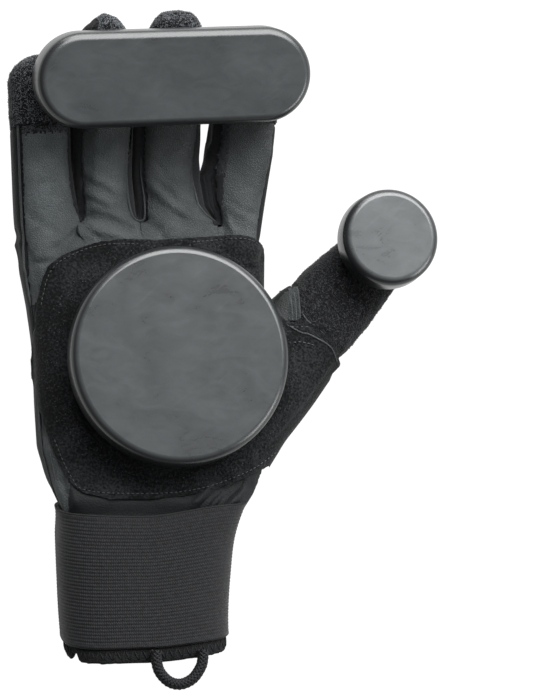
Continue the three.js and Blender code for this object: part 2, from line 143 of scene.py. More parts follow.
# Pull loop: a round braided polyester cord, 4 mm thick, sewn under the edge of the wrist band by both ends.
# It lies over the hem and sticks out stiffly past it, to pull the glove on by.
CORD_THICK = 4.0
CORD_ROUTE = [
    (-7.6, -114.8, 39.6),
    (-7.6, -118.6, 39.6),
    (-6.2, -123.0, 39.3),
    (-2.4, -126.7, 38.8),
    (2.2, -127.6, 38.5),
    (6.9, -125.4, 38.4),
    (10.0, -121.0, 38.4),
    (10.8, -117.6, 38.4),
    (10.8, -114.5, 38.4),
]


def run_along(line):
    """How far along a line each of its points lies."""
    return np.concatenate([[0], np.cumsum(np.linalg.norm(np.diff(line, axis=0), axis=1))])


def smooth_line(points, count, closed=False):
    """A smooth line through points, as count evenly spaced points."""
    p = np.asarray(points, float)
    if closed:
        p = np.vstack([p[-1], p, p[:2]])
    else:
        p = np.vstack([2 * p[0] - p[1], p, 2 * p[-1] - p[-2]])
    fine = []
    for a, b, c, d in zip(p[:-3], p[1:-2], p[2:-1], p[3:]):
        t = np.linspace(0, 1, 24, endpoint=False)[:, None]
        fine.append(
            0.5 * (2 * b + (c - a) * t + (2 * a - 5 * b + 4 * c - d) * t**2 + (3 * b - a - 3 * c + d) * t**3)
        )
    fine = np.vstack([*fine, p[-2][None]])
    run = run_along(fine)
    at = np.linspace(0, run[-1], count, endpoint=not closed)
    return np.column_stack([np.interp(at, run, fine[:, k]) for k in range(fine.shape[1])])


def mesh_piece(name, points, faces):
    """A new object at the origin from points in millimetres and faces."""
    data = bpy.data.meshes.new(name)
    data.from_pydata(place(points).tolist(), [], [list(map(int, f)) for f in faces])
    data.validate()
    data.polygons.foreach_set("use_smooth", [True] * len(data.polygons))
    made = bpy.data.objects.new(name, data)
    bpy.context.scene.collection.objects.link(made)
    return made


def fit(piece, material, slot, *nodes):
    """Fixes a piece to the glove with its material and hides the CAD solid that it replaces. Its finish,
    given as slot, is not used.
    """
    piece.data.materials.append(material)
    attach(piece, "root")
    if nodes:
        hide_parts(*nodes)


def sides_along(line):
    """Directions across a line at each of its points, one level and one upright."""
    way = np.gradient(line, axis=0)
    way /= np.linalg.norm(way, axis=1)[:, None]
    side = np.cross(way, [0, 0, 1.0])
    side /= np.linalg.norm(side, axis=1)[:, None]
    return side, np.cross(side, way)


def tube(line, radius, sides):
    """Points and faces of a closed tube along a line."""
    side, over = sides_along(line)
    turn = np.linspace(0, 2 * math.pi, sides, endpoint=False)
    ring = side[:, None] * np.cos(turn)[None, :, None] + over[:, None] * np.sin(turn)[None, :, None]
    points = (line[:, None] + radius * ring).reshape(-1, 3)
    faces = []
    for row in range(len(line) - 1):
        for k in range(sides):
            a, b = row * sides + k, row * sides + (k + 1) % sides
            faces.append((a, b, b + sides, a + sides))
    faces.append(tuple(range(sides)))
    faces.append(tuple(range((len(line) - 1) * sides, len(line) * sides))[::-1])
    return points, faces


def joined(parts):
    """Several (points, faces) as one."""
    points, faces, start = [], [], 0
    for p, f in parts:
        points.append(p)
        faces += [tuple(i + start for i in face) for face in f]
        start += len(p)
    return np.vstack(points), faces


cord_line = smooth_line(CORD_ROUTE, 121)
cord_length = np.linalg.norm(np.diff(cord_line, axis=0), axis=1).sum()
run = np.linspace(0, cord_length, len(cord_line))
side, over = sides_along(cord_line)
strands = [tube(cord_line, CORD_THICK / 2 - 0.6, 10)]
for hand in (1, -1):
    for k in range(6):
        turn = hand * run * 2 * math.pi / 9.0 + 2 * math.pi * k / 6
        ride = CORD_THICK / 2 - 0.42 + 0.14 * hand * np.cos(6 * turn)
        strand = cord_line + ride[:, None] * (side * np.cos(turn)[:, None] + over * np.sin(turn)[:, None])
        strands.append(tube(strand, 0.58, 6))
points, faces = joined(strands)
pull_loop = mesh_piece("braided_pull_loop", points, faces)
braid, tree = new_material("braided_polyester_cord")
# Spun polyester: a dull sheen on each strand, with fine twist lines along it.
spot = add(tree, "TexCoord").outputs["Object"]
twist = add(tree, "TexNoise", {"Vector": spot, "Scale": 2600, "Detail": 2})
tone = add(
    tree, "Mix", {0: twist.outputs["Fac"], 6: linear("#040405"), 7: linear("#17181a")}, data_type="RGBA"
)
bump = add(tree, "Bump", {"Height": twist.outputs["Fac"], "Strength": 0.5, "Distance": 0.0002})
shader = add(
    tree,
    "BsdfPrincipled",
    {
        "Base Color": tone.outputs[2],
        "Roughness": 0.7,
        "Normal": bump.outputs[0],
        "Specular IOR Level": 0.2,
    },
)
add(tree, "OutputMaterial", {"Surface": shader.outputs[0]})
fit(pull_loop, braid, "braided_cord", "pull_loop")

# Palm leather: one hide panel for the palm and the finger fronts, soft dark grey grain leather about 1.8 mm
# thick, turned in along its seams. Use has creased it across the fingers' roots and beside the cuff.
LEATHER = 1.8
HAND = np.array(
    [  # y, left, right, bottom, top, rake
        (-116, -39.6, 21.8, 2.2, 37.0, 0.28),
        (-100, -41.2, 21.4, 2.2, 37.0, 0.28),
        (-84, -42.2, 22.4, 2.2, 37.0, 0.3),
        (-70, -42.9, 24.2, 2.2, 37.0, 0.34),
        (-58, -43.2, 28.6, 2.2, 36.4, 0.34),
        (-47, -48.5, 36.3, 2.0, 31.9, 0.2),
        (-34, -52.3, 41.5, 0.0, 31.8, 0.05),
        (-16, -53.6, 41.0, 0.0, 31.8, 0.0),
        (4, -54.6, 39.0, 0.0, 31.8, 0.0),
        (22, -57.2, 36.8, 0.0, 31.6, 0.0),
        (36, -60.0, 37.2, 0.0, 30.4, 0.0),
        (47, -61.2, 37.6, 0.8, 28.4, 0.0),
        (54, -59.5, 36.4, 3.6, 26.6, 0.0),
        (58, -57.0, 34.0, 7.0, 24.0, 0.0),
    ]
)
FINGER_START_Y = 40.0
# middle line's x at the start and at the tip, the tip's y, three half widths, where the loop fabric starts
FINGERS = {
    "pinky": (-46.65, -55.1, 118.5, (12.7, 12.3, 11.8), 92.0),
    "ring": (-22.0, -32.8, 135.5, (12.0, 12.9, 10.1), 100.0),
    "middle": (3.3, -1.3, 139.8, (13.2, 13.4, 9.6), 101.0),
    "index": (25.9, 31.2, 127.0, (9.6, 13.3, 11.6), 99.0),
}
THUMB = np.array(
    [  # along its axis, half width, bottom, top
        (-90, 22.5, 1.6, 30.8),
        (-72, 22.2, 0.0, 31.6),
        (-50, 20.6, 0.0, 31.6),
        (-34, 18.4, 0.6, 31.0),
        (-18, 17.2, 1.8, 29.6),
        (-4, 15.8, 3.0, 28.6),
        (10, 14.0, 4.2, 28.6),
        (19, 12.6, 5.2, 28.6),
    ]
)
THUMB_POINT = np.array([74.8, 34.8])
THUMB_WAY = np.array([math.cos(math.radians(47.5)), math.sin(math.radians(47.5))])
THUMB_SIDE = np.array([THUMB_WAY[1], -THUMB_WAY[0]])
THUMB_LOOP_FROM = -28.0
THUMB_LOOP_INNER_X = 51.0
HEEL = [  # along the thumb's axis, how much fuller its outer side is
    (-90, 0.2), (-82, 1.2), (-72, 1.8), (-50, 1.7), (-36, 1.8),
    (-31, 0.6), (-26, -0.9), (-20, -0.6), (-8, 0.0),
]
RAKE_LEVEL = 18.0  # height at which a raked section lies at its own y
SQUARENESS = 3.2  # exponent of the palm's rounded sections
BELLY = 1.6  # how far the rounding goes on below the flat back
PALM_END, PALM_TOP = 58.0, 31.8
KNUCKLE_Y, SEAT_Y = 48.0, 90.0  # where the fingers start to rise, and where they reach the puck's plane
KNUCKLE_TOP, KNUCKLE_DEEP, TIP_DEEP = 28.0, 26.0, 19.5
FINGER_SEAT = (-5.0, 112.5, 41.8)  # on the fingers, under the middle of their puck
PUCK_RISE, PUCK_FALL = math.tan(0.28), math.tan(0.105)
PALM_SEAM_DEEP, FINGER_SEAM_DEEP = 9.5, 3.8  # how far the seams lie below the top
HALF_GAP = 0.15  # half of what is left between two solids


def ease(t):
    t = np.clip(t, 0, 1)
    return t * t * (3 - 2 * t)


def read_off(rows, at, column=1):
    """A column of a short table at a place between its rows, along straight lines."""
    rows = np.asarray(rows, float)
    return np.interp(at, rows[:, 0], rows[:, column])


def from_table(table, at):
    """The columns of a table of sections at a place between its rows, along smooth curves."""
    knots = table[:, 0]
    values = table[:, 1:]
    slope = np.empty_like(values)
    slope[1:-1] = (values[2:] - values[:-2]) / (knots[2:] - knots[:-2])[:, None]
    slope[0] = (values[1] - values[0]) / (knots[1] - knots[0])
    slope[-1] = (values[-1] - values[-2]) / (knots[-1] - knots[-2])
    at = np.clip(at, knots[0], knots[-1])
    k = np.clip(np.searchsorted(knots, at, side="right") - 1, 0, len(knots) - 2)
    span = (knots[k + 1] - knots[k])[:, None]
    t = (at - knots[k])[:, None] / span
    v = (2 * t**3 - 3 * t**2 + 1) * values[k] + (t**3 - 2 * t**2 + t) * span * slope[k]
    v = v + (3 * t**2 - 2 * t**3) * values[k + 1] + (t**3 - t**2) * span * slope[k + 1]
    return v.T


def palm_distance(p):
    """How far points stand outside the palm and wrist, in millimetres, negative inside."""
    x, y, z = p.T
    row = y
    for _ in range(3):
        left, right_, bottom, top, rake = from_table(HAND, row)
        row = y + rake * (z - RAKE_LEVEL)
    middle, half, centre = (bottom + top) / 2, (right_ - left) / 2, (left + right_) / 2
    high = np.where(z > middle, top - middle, middle - bottom + BELLY)
    f = np.abs((x - centre) / half) ** SQUARENESS + np.abs((z - middle) / high) ** SQUARENESS
    f = f ** (1 / SQUARENESS) + 1e-6
    out = np.hypot(x - centre, z - middle) * (1 - 1 / f)
    return np.maximum.reduce([out, bottom - z, row - PALM_END])


def finger_top(x, y):
    """Height of the top of the fingers: level at the knuckles, then a smooth rise onto the puck's plane."""
    span = SEAT_Y - KNUCKLE_Y
    seat = FINGER_SEAT[2] + (np.maximum(y, SEAT_Y) - FINGER_SEAT[1]) * PUCK_RISE
    seat = seat - (x - FINGER_SEAT[0]) * PUCK_FALL
    t = np.clip((y - KNUCKLE_Y) / span, 0, 1)
    curve = KNUCKLE_TOP + (seat - KNUCKLE_TOP) * t * t * (3 - 2 * t) + PUCK_RISE * span * t * t * (t - 1)
    return np.where(y > SEAT_Y, seat, curve)


def finger_thick(y):
    share = (np.clip(y, KNUCKLE_Y, SEAT_Y) - KNUCKLE_Y) / (SEAT_Y - KNUCKLE_Y)
    return KNUCKLE_DEEP + share * (TIP_DEEP - KNUCKLE_DEEP)


def finger_place(p, name):
    """How far points lie along a finger's middle line and across it, and the line's direction."""
    start, tip_x, tip_y, *_ = FINGERS[name]
    way = np.array([tip_x - start, tip_y - FINGER_START_Y])
    way /= np.linalg.norm(way)
    rel = p[:, :2] - [start, FINGER_START_Y]
    return rel @ way, rel @ [way[1], -way[0]], way


def finger_distance(p, name):
    start, _, tip_y, halves, _ = FINGERS[name]
    along, across, way = finger_place(p, name)
    y = FINGER_START_Y + along * way[1]
    x = start + along * way[0]
    half = np.interp(y, [FINGER_START_Y, SEAT_Y, tip_y], halves)
    thick = finger_thick(y) / 2
    lift = p[:, 2] - (finger_top(x, y) - thick)
    share = np.clip((y - tip_y + 10) / 10, 0, None)
    f = (np.abs(across / half) ** 2.5 + np.abs(lift / thick) ** 2.5) ** (1 / 2.5)
    f = np.hypot(f, share) + 1e-6
    out = np.sqrt(across**2 + lift**2 + (10 * share) ** 2) * (1 - 1 / f)
    return np.maximum(out, FINGER_START_Y - 2 - y)


def thumb_distance(p):
    rel = p[:, :2] - THUMB_POINT
    along, across = rel @ THUMB_WAY, rel @ THUMB_SIDE
    half, bottom, top = from_table(THUMB, along)
    half = half + np.where(across > 0, read_off(HEEL, along), 0)
    middle, high = (bottom + top) / 2, (top - bottom) / 2
    share = np.clip((along - 19) / 12, 0, None)
    lift = p[:, 2] - middle
    f = (np.abs(across / half) ** 2.7 + np.abs(lift / high) ** 2.7) ** (1 / 2.7)
    f = np.hypot(f, share) + 1e-6
    out = np.sqrt(across**2 + lift**2 + (12 * share) ** 2) * (1 - 1 / f)
    return np.maximum(out, -90 - along)


def soft_union(a, b, round_off):
    h = np.clip(0.5 + 0.5 * (b - a) / round_off, 0, 1)
    return b * (1 - h) + a * h - round_off * h * (1 - h)


def hand_distance(p):
    """How far points stand outside the whole hand, with the roots of the fingers and thumb rounded in."""
    fingers = np.minimum.reduce([finger_distance(p, name) for name in FINGERS])
    return soft_union(soft_union(palm_distance(p), thumb_distance(p), 7.0), fingers, 2.6)


def seam_height(x, y):
    """Height of the seam between the palm leather and what is below it."""
    share = ease((y - 36) / 24)
    deep = PALM_SEAM_DEEP + (FINGER_SEAM_DEEP - PALM_SEAM_DEEP) * share
    return PALM_TOP + (finger_top(x, y) - PALM_TOP) * share - deep


def back_seam_height(x, y):
    return finger_top(x, y) - finger_thick(y) + FINGER_SEAM_DEEP


# Between two fingers: y, then x of the leather's edges on the left and the right of the slot. The leather
# ends about 2 mm behind these edges, so the first slot's edges cross at its foot, which draws it to a point.
SLOTS = {
    ("pinky", "ring"): [
        (55.0, -35.3, -38.7),
        (56.4, -35.6, -38.5),
        (58.6, -36.8, -38.0),
        (62, -38.4, -37.8),
        (72, -40.7, -39.8),
        (80, -42.3, -41.0),
        (96, -43.7, -41.9),
    ],
    ("ring", "middle"): [
        (56.2, -12.9, -12.5),
        (57, -14.3, -12.2),
        (58.5, -15.3, -12.0),
        (61, -16.3, -12.0),
        (66, -17.4, -12.4),
        (75, -18.4, -14.1),
        (98, -18.9, -14.7),
    ],
    ("middle", "index"): [
        (57.6, 18.4, 19.0),
        (58.6, 16.8, 19.0),
        (60.5, 14.2, 18.6),
        (64, 11.4, 16.8),
        (75, 8.4, 15.2),
        (84, 8.4, 16.2),
        (98, 9.0, 17.2),
    ],
}
ROLL = {  # how deep the leather rolls over into the slot on a finger's left and right side
    "pinky": (0.0, 0.5),
    "ring": (1.4, 0.4),
    "middle": (0.8, 0.5),
    "index": (0.2, 0.0),
}
PINKY_BULGE = 1.7


def leather_edge(name, side, y):
    """Where the seam runs on a finger's side before the fingers are drawn together."""
    start, tip_x, tip_y, halves, _ = FINGERS[name]
    axis = start + (y - FINGER_START_Y) / (tip_y - FINGER_START_Y) * (tip_x - start)
    return axis + side * 0.872 * np.interp(y, [FINGER_START_Y, SEAT_Y, tip_y], halves)


def draw_in(points):
    """Moves the fingers sideways to where they lie, which draws each slot in to a point at its foot."""
    x, y = points[:, 0], points[:, 1]
    at, move = [leather_edge("pinky", 0, y)], [np.zeros(len(x))]
    for (left, right_), rows in SLOTS.items():
        for name, side, column in ((left, 1, 1), (right_, -1, 2)):
            edge = leather_edge(name, side, y)
            at.append(edge)
            move.append(read_off(rows, y, column) - edge)
        at.append(leather_edge(right_, 0, y))
        move.append(np.zeros(len(x)))
    for k in (3, 6):
        move[k] = (move[k - 1] + move[k + 1]) / 2
    shift = np.zeros(len(x))
    for k in range(len(at) - 1):
        t = (x - at[k]) / np.maximum(at[k + 1] - at[k], 0.01)
        inside = (t >= 0) & (t < 1)
        shift[inside] = (move[k] + (move[k + 1] - move[k]) * ease(t))[inside]
    shift *= ease((y - 44) / 8) * (1 - ease((y - 100) / 16))
    shift -= PINKY_BULGE * ease((at[0] - x) / 12) * ease((y - 38) / 20) * (1 - 0.5 * ease((y - 88) / 10))
    return points + np.column_stack([shift, np.zeros(len(x)), np.zeros(len(x))])


def roll_over(points):
    """Lets the leather roll over into the slots along its edges."""
    rolled = points.copy()
    x, y = points[:, 0], points[:, 1]
    for (left, right_), rows in SLOTS.items():
        for column, sign, deep in ((1, -1, ROLL[left][1]), (2, 1, ROLL[right_][0])):
            gap = sign * (x - read_off(rows, y, column))
            near = np.where(gap > -2, np.exp(-((np.maximum(gap, 0) / 3.0) ** 2)), 0)
            rolled[:, 2] -= deep * near * ease((y - rows[0][0] - 2) / 14)
    return rolled


def top_of_hand(x, y, off=0.0):
    """Height of the hand's upper surface over a place, off millimetres above the leather."""
    low, high = np.full(len(x), 12.0), np.full(len(x), 60.0)
    for _ in range(26):
        middle = (low + high) / 2
        outside = hand_distance(np.column_stack([x, y, middle])) > off
        high, low = np.where(outside, middle, high), np.where(outside, low, middle)
    return (low + high) / 2


def select_only(piece):
    bpy.ops.object.select_all(action="DESELECT")
    piece.select_set(True)
    bpy.context.view_layer.objects.active = piece


def soft_copy(node, name, voxel_mm):
    """A copy of a CAD solid with an even skin, fine enough to shape."""
    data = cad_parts[node].data.copy()
    data.materials.clear()
    made = bpy.data.objects.new(name, data)
    bpy.context.scene.collection.objects.link(made)
    select_only(made)
    bpy.ops.object.mode_set(mode="EDIT")
    bpy.ops.mesh.select_all(action="SELECT")
    bpy.ops.mesh.remove_doubles(threshold=1e-6)
    bpy.ops.object.mode_set(mode="OBJECT")
    even = made.modifiers.new("even_skin", "REMESH")
    even.mode = "VOXEL"
    even.voxel_size = voxel_mm / 1000
    even.use_smooth_shade = True
    bpy.ops.object.modifier_apply(modifier=even.name)
    return made


def get_points(piece):
    flat = np.empty(len(piece.data.vertices) * 3)
    piece.data.vertices.foreach_get("co", flat)
    return (flat.reshape(-1, 3) - PUCK_MIDDLE) * 1000


def set_points(piece, points):
    piece.data.vertices.foreach_set("co", place(points).ravel())
    piece.data.update()


def mark(piece, name, values):
    """Keeps a number for each point of a piece, which its material reads."""
    kept = piece.data.attributes.new(name, "FLOAT", "POINT")
    kept.data.foreach_set("value", values)


def get_normals(piece):
    flat = np.empty(len(piece.data.vertices) * 3)
    piece.data.vertex_normals.foreach_get("vector", flat)
    return flat.reshape(-1, 3)


def relax(piece, points, times):
    """Smooths points half way towards the middle of their neighbours."""
    ends = np.empty(len(piece.data.edges) * 2, dtype=np.int64)
    piece.data.edges.foreach_get("vertices", ends)
    a, b = ends.reshape(-1, 2).T
    count = np.bincount(np.concatenate([a, b]), minlength=len(points)).clip(1)[:, None]
    for _ in range(times):
        total = np.zeros_like(points)
        for k in range(3):
            total[:, k] = np.bincount(a, points[b, k], len(points))
            total[:, k] += np.bincount(b, points[a, k], len(points))
        points = points + 0.5 * (total / count - points)
    return points


MOST_SETTLE = 2.5  # how far a point may move


def settle(points, distance, inner, outer):
    """Moves skin points onto the smooth forms that lie inner and outer millimetres off a distance."""
    start = points.copy()
    d = distance(points)
    middle = (inner + outer) / 2
    wall = outer - inner
    target = np.where(d > middle, outer, inner)
    pull = np.clip(np.abs(d - middle) / (0.36 * wall), 0, 1) ** 4
    outside = d > middle
    for _ in range(3):
        d = distance(points)
        slope = np.empty_like(points)
        for k in range(3):
            step = np.zeros(3)
            step[k] = 0.05
            slope[:, k] = (distance(points + step) - distance(points - step)) / 0.1
        slope /= np.maximum((slope**2).sum(axis=1), 0.2)[:, None]
        points = points - ((d - target) * pull)[:, None] * slope
        gone = points - start
        far = np.linalg.norm(gone, axis=1)[:, None]
        points = start + gone * np.minimum(1, MOST_SETTLE / np.maximum(far, 1e-9))
    return points, outside


def stroke(points, line, wide, deep):
    """Depth of a crease that follows a line drawn in plan: a groove with a low ridge beside it."""
    line = smooth_line(line, 60)
    gap = np.full(len(points), 1e9)
    where = np.zeros(len(points))
    for k, (a, b) in enumerate(zip(line[:-1], line[1:])):
        ab = b - a
        t = np.clip(((points[:, :2] - a) @ ab) / (ab @ ab), 0, 1)
        away = np.hypot(*(points[:, :2] - a - t[:, None] * ab).T)
        near = away < gap
        gap[near] = away[near]
        where[near] = (k + t[near]) / (len(line) - 1)
    s = gap / wide
    ends = ease(np.minimum(where, 1 - where) / 0.25)
    return deep * ends * (-np.exp(-s * s) + 0.45 * np.exp(-(((s - 2.0) / 0.9) ** 2)))


palm_leather = soft_copy("palm_panel", "palm_leather", 0.75)
skin, outside = settle(get_points(palm_leather), hand_distance, -LEATHER, 0.0)
x, y, z = skin.T
edge = z - seam_height(x, y) - HALF_GAP
turned_in = 0.4 * np.exp(-((np.maximum(edge, 0) / 1.0) ** 2))
crease = np.zeros(len(skin))
for line, wide, deep in (
    # slanting folds over the roots of the fingers
    ([(-39, 74), (-29, 69), (-19, 64)], 1.6, 0.8),
    ([(-36, 70), (-29, 66.5), (-21, 63)], 1.0, 0.3),
    ([(-35, 58.5), (-24.7, 55.2), (-14, 51)], 1.8, 0.85),
    ([(-33, 61), (-26, 58), (-17, 54.5)], 1.1, 0.3),
    ([(-36, 49.2), (-29.5, 51.1), (-19.4, 51.8)], 2.2, -0.4),
    ([(-34, 65), (-28, 62), (-22, 58)], 1.2, 0.25),
    ([(-33, 83), (-25, 79), (-17, 77)], 1.4, 0.2),
    ([(-10, 69), (-2, 61.5), (6, 54.4)], 1.8, 0.8),
    ([(-10, 65), (-4, 59.5), (3, 53.4)], 1.2, 0.35),
    ([(-7, 75), (0, 69), (5, 62)], 1.3, 0.25),
    ([(5, 86), (5, 73), (8, 62)], 3.2, -0.4),
    ([(-8, 86), (0, 84), (8, 87)], 1.5, 0.2),
    ([(-5, 80), (-1, 77), (1, 72)], 1.0, 0.25),
    ([(21.5, 61), (27.2, 55.8), (35.3, 53.1)], 1.8, 0.5),
    ([(21, 67), (28, 62), (36, 60)], 1.2, 0.25),
    ([(23, 58), (27, 54), (33, 51.5)], 1.1, 0.3),
    ([(-47.8, 69), (-51.3, 61), (-55.5, 50)], 1.2, 0.4),
    ([(-43, 75), (-48, 70), (-56, 69)], 1.3, 0.2),
    ([(-58, 60), (-53, 54), (-47, 50)], 1.3, 0.25),
    # below the slots
    ([(-37.2, 58), (-36.6, 54), (-35.4, 49.5)], 1.3, 0.7),
    ([(-12.5, 58), (-12.4, 54), (-11, 50)], 1.4, 0.3),
    ([(18.8, 59), (20, 55.5), (24, 52)], 1.4, 0.35),
    ([(-37, 54), (-43, 47), (-51, 41)], 1.4, 0.5),
    ([(-58, 46), (-55.5, 36), (-54.5, 26)], 1.3, 0.4),
    # folds between the patch and the cuff
    ([(23, -48), (18, -52), (13, -57), (9, -62)], 1.7, 2.4),
    ([(31, -46), (25, -50.5), (19.5, -56), (15, -62)], 1.7, 2.6),
    ([(34, -47), (30, -51.5), (25, -57), (21, -61)], 1.1, 0.8),
    ([(-44, -46), (-42, -54), (-40.5, -61)], 1.2, 1.0),
):
    crease += stroke(skin, line, wide, deep)
waves = np.random.default_rng(5)
for _ in range(10):
    way = waves.normal(0, 1, 3)
    way *= 2 * math.pi / waves.uniform(9, 22) / np.linalg.norm(way)
    crease += 0.07 * np.sin(skin @ way + waves.uniform(0, 6.3))
normals = get_normals(palm_leather)
facing = outside & (normals[:, 2] > 0.1)
skin = skin + normals * np.where(outside, np.where(facing, crease, 0) - turned_in, 0)[:, None]
skin = draw_in(relax(palm_leather, skin, 2))


def bloom(p, x, y, wide, deep):
    """One inside a soft oval in plan and nothing outside it."""
    return np.exp(-(((p[:, 0] - x) / wide) ** 2) - ((p[:, 1] - y) / deep) ** 2)


def web_fullness(p):
    """The leather between the thumb and the index finger stands out a little."""
    return p + 1.2 * bloom(p, 46, 30, 5, 6)[:, None] * [-0.74, 0.67, 0]


under_band = ease((-55 - skin[:, 1]) / 9) * ease((skin[:, 2] - 26) / 4)
skin = roll_over(web_fullness(skin - np.outer(under_band, [0, 0, 3.6])))
set_points(palm_leather, skin)


# Tone of the palm leather, partly rubbing and partly painted light: the little and ring fingers are painted
# paler against the finger puck's shadow; the web and the palm beside the little finger are darker.
wear_and_painted_shading = np.ones(len(skin))
for middle_x, middle_y, wide, deep, gain in (
    (-52, 66, 10, 34, 0.9),
    (-26, 74, 9, 24, 0.45),
    (1, 76, 9, 22, -0.1),
    (46, 24, 9, 12, -0.6),
    (-46, 36, 18, 14, -0.45),
):
    wear_and_painted_shading += gain * bloom(skin, middle_x, middle_y, wide, deep)
# Painted shading across each finger: darker towards its sides and paler along its crown, as light falls on a
# rounded finger.
borders = [np.full(len(skin), -66.0)]
for rows in SLOTS.values():
    borders += [read_off(rows, skin[:, 1], column) for column in (1, 2)]
borders.append(np.full(len(skin), 43.0))
crown = np.zeros(len(skin))
for low, high in zip(borders[0::2], borders[1::2]):
    across = (skin[:, 0] - low) / (high - low)
    crown += np.where((across > 0) & (across < 1), 4 * across * (1 - across), 0)
wear_and_painted_shading *= 1 + (0.65 + 0.5 * crown - 1) * ease((skin[:, 1] - 52) / 12)
mark(palm_leather, "wear_and_painted_shading", wear_and_painted_shading)

grain_leather, tree = new_material("grey_grain_leather")
# Drum-dyed cowhide: pebbled grain about 1 mm across with painted shade in the valleys between pebbles, a
# soft waxy sheen, and a tone multiplied by the wear_and_painted_shading attribute: paler where it is rubbed,
# with painted light and shade on the fingers.
spot = add(tree, "TexCoord").outputs["Object"]
cloud = add(tree, "TexNoise", {"Vector": spot, "Scale": 95, "Detail": 5})
warp = add(tree, "TexNoise", {"Vector": spot, "Scale": 420, "Detail": 2})
drift = add(
    tree, "VectorMath", {0: warp.outputs["Color"], 1: (0.0006, 0.0006, 0.0006)}, operation="MULTIPLY"
)
moved = add(tree, "VectorMath", {0: spot, 1: drift.outputs[0]}, operation="ADD")
pebble = add(tree, "TexVoronoi", {"Vector": moved.outputs[0], "Scale": 1150}, feature="DISTANCE_TO_EDGE")
valley = add(tree, "MapRange", {0: pebble.outputs["Distance"], 1: 0.0, 2: 0.22, 3: 0.0, 4: 1.0})
fine = add(tree, "TexNoise", {"Vector": spot, "Scale": 1900, "Detail": 3})
height = add(tree, "Math", {0: fine.outputs["Fac"], 1: 0.5, 2: valley.outputs[0]}, operation="MULTIPLY_ADD")
lines = add(
    tree,
    "TexNoise",
    {
        "Vector": moved.outputs[0],
        "Scale": 230,
        "Detail": 4,
        "Roughness": 0.65,
        "Lacunarity": 2.3,
    },
    noise_type="RIDGED_MULTIFRACTAL",
)
wrinkle = add(
    tree, "Bump", {"Height": lines.outputs["Fac"], "Strength": 0.55, "Distance": 0.0006}, invert=True
)
tone = add(
    tree, "Mix", {0: cloud.outputs["Fac"], 6: linear("#202424"), 7: linear("#404445")}, data_type="RGBA"
)
# Painted shade: the grain's valleys between pebbles are darkened by up to about a third.
valley_shaded_tone = add(
    tree,
    "Mix",
    {
        0: 0.35,
        6: tone.outputs[2],
        7: valley.outputs[0],
    },
    data_type="RGBA",
    blend_type="MULTIPLY",
)
# Painted light and shade: the leather's tone is multiplied by this attribute.
varied_tone = add(tree, "Attribute", attribute_name="wear_and_painted_shading")
uneven_tone = add(
    tree,
    "Mix",
    {
        0: 1.0,
        6: valley_shaded_tone.outputs[2],
        7: varied_tone.outputs["Fac"],
    },
    data_type="RGBA",
    blend_type="MULTIPLY",
)
rough = add(tree, "MapRange", {0: cloud.outputs["Fac"], 1: 0.3, 2: 0.7, 3: 0.68, 4: 0.56})
bump = add(
    tree,
    "Bump",
    {
        "Height": height.outputs[0],
        "Strength": 0.55,
        "Distance": 0.0003,
        "Normal": wrinkle.outputs[0],
    },
)
shader = add(
    tree,
    "BsdfPrincipled",
    {
        "Base Color": uneven_tone.outputs[2],
        "Roughness": rough.outputs[0],
        "Normal": bump.outputs[0],
        "Specular IOR Level": 0.3,
    },
)
add(tree, "OutputMaterial", {"Surface": shader.outputs[0]})
fit(palm_leather, grain_leather, "grain_leather", "palm_panel")

# Back leather: one plain panel over the back of the hand, brought round the outer sides of the little and
# index fingers to the seam with the palm leather. It lies flat on the table under the palm.
back_leather = soft_copy("back_panel", "back_leather", 0.8)
skin, outside = settle(get_points(back_leather), hand_distance, -LEATHER, 0.0)
x, y, z = skin.T
edge = seam_height(x, y) - HALF_GAP - z
turned_in = 0.7 * np.exp(-((np.maximum(edge, 0) / 1.4) ** 2))
crease = np.zeros(len(skin))
for line, wide, deep in (
    ([(-50, 46), (-20, 50), (8, 52), (34, 46)], 2.0, 0.4),
    ([(-48, 36), (-16, 39), (20, 37)], 1.8, 0.35),
    ([(-46, -44), (-20, -47), (20, -46)], 1.8, 0.5),
    ([(30, -36), (42, -14), (56, 4)], 2.0, 0.4),
):
    crease += stroke(skin, line, wide, deep)
normals = get_normals(back_leather)
under = outside & (normals[:, 2] < -0.2)
skin = skin + normals * np.where(outside, np.where(under, np.minimum(crease, 0), 0) - turned_in, 0)[:, None]
skin[:, 2] = np.maximum(skin[:, 2], 0.0)
set_points(back_leather, web_fullness(draw_in(relax(back_leather, skin, 2))))
back_hide, tree = new_material("black_back_leather")
# The same hide dyed darker and left matt; on the palm leather beside the cuff it is also painted shade.
spot = add(tree, "TexCoord").outputs["Object"]
cloud = add(tree, "TexNoise", {"Vector": spot, "Scale": 60, "Detail": 4})
pebble = add(tree, "TexVoronoi", {"Vector": spot, "Scale": 800}, feature="DISTANCE_TO_EDGE")
valley = add(tree, "MapRange", {0: pebble.outputs["Distance"], 1: 0.0, 2: 0.2, 3: 0.0, 4: 1.0})
tone = add(
    tree, "Mix", {0: cloud.outputs["Fac"], 6: linear("#101112"), 7: linear("#1b1d1e")}, data_type="RGBA"
)
bump = add(tree, "Bump", {"Height": valley.outputs[0], "Strength": 0.35, "Distance": 0.00025})
shader = add(
    tree,
    "BsdfPrincipled",
    {
        "Base Color": tone.outputs[2],
        "Roughness": 0.65,
        "Normal": bump.outputs[0],
        "Specular IOR Level": 0.15,
    },
)
add(tree, "OutputMaterial", {"Surface": shader.outputs[0]})
fit(back_leather, back_hide, "back_leather", "back_panel")

# Side strips: narrow strips of black suede that run down one finger, round the crotch and up the next.
# They are sewn in with both seams turned inwards, so they sit lower than the leather on either side.
side_suede, tree = new_material("black_strip_suede")
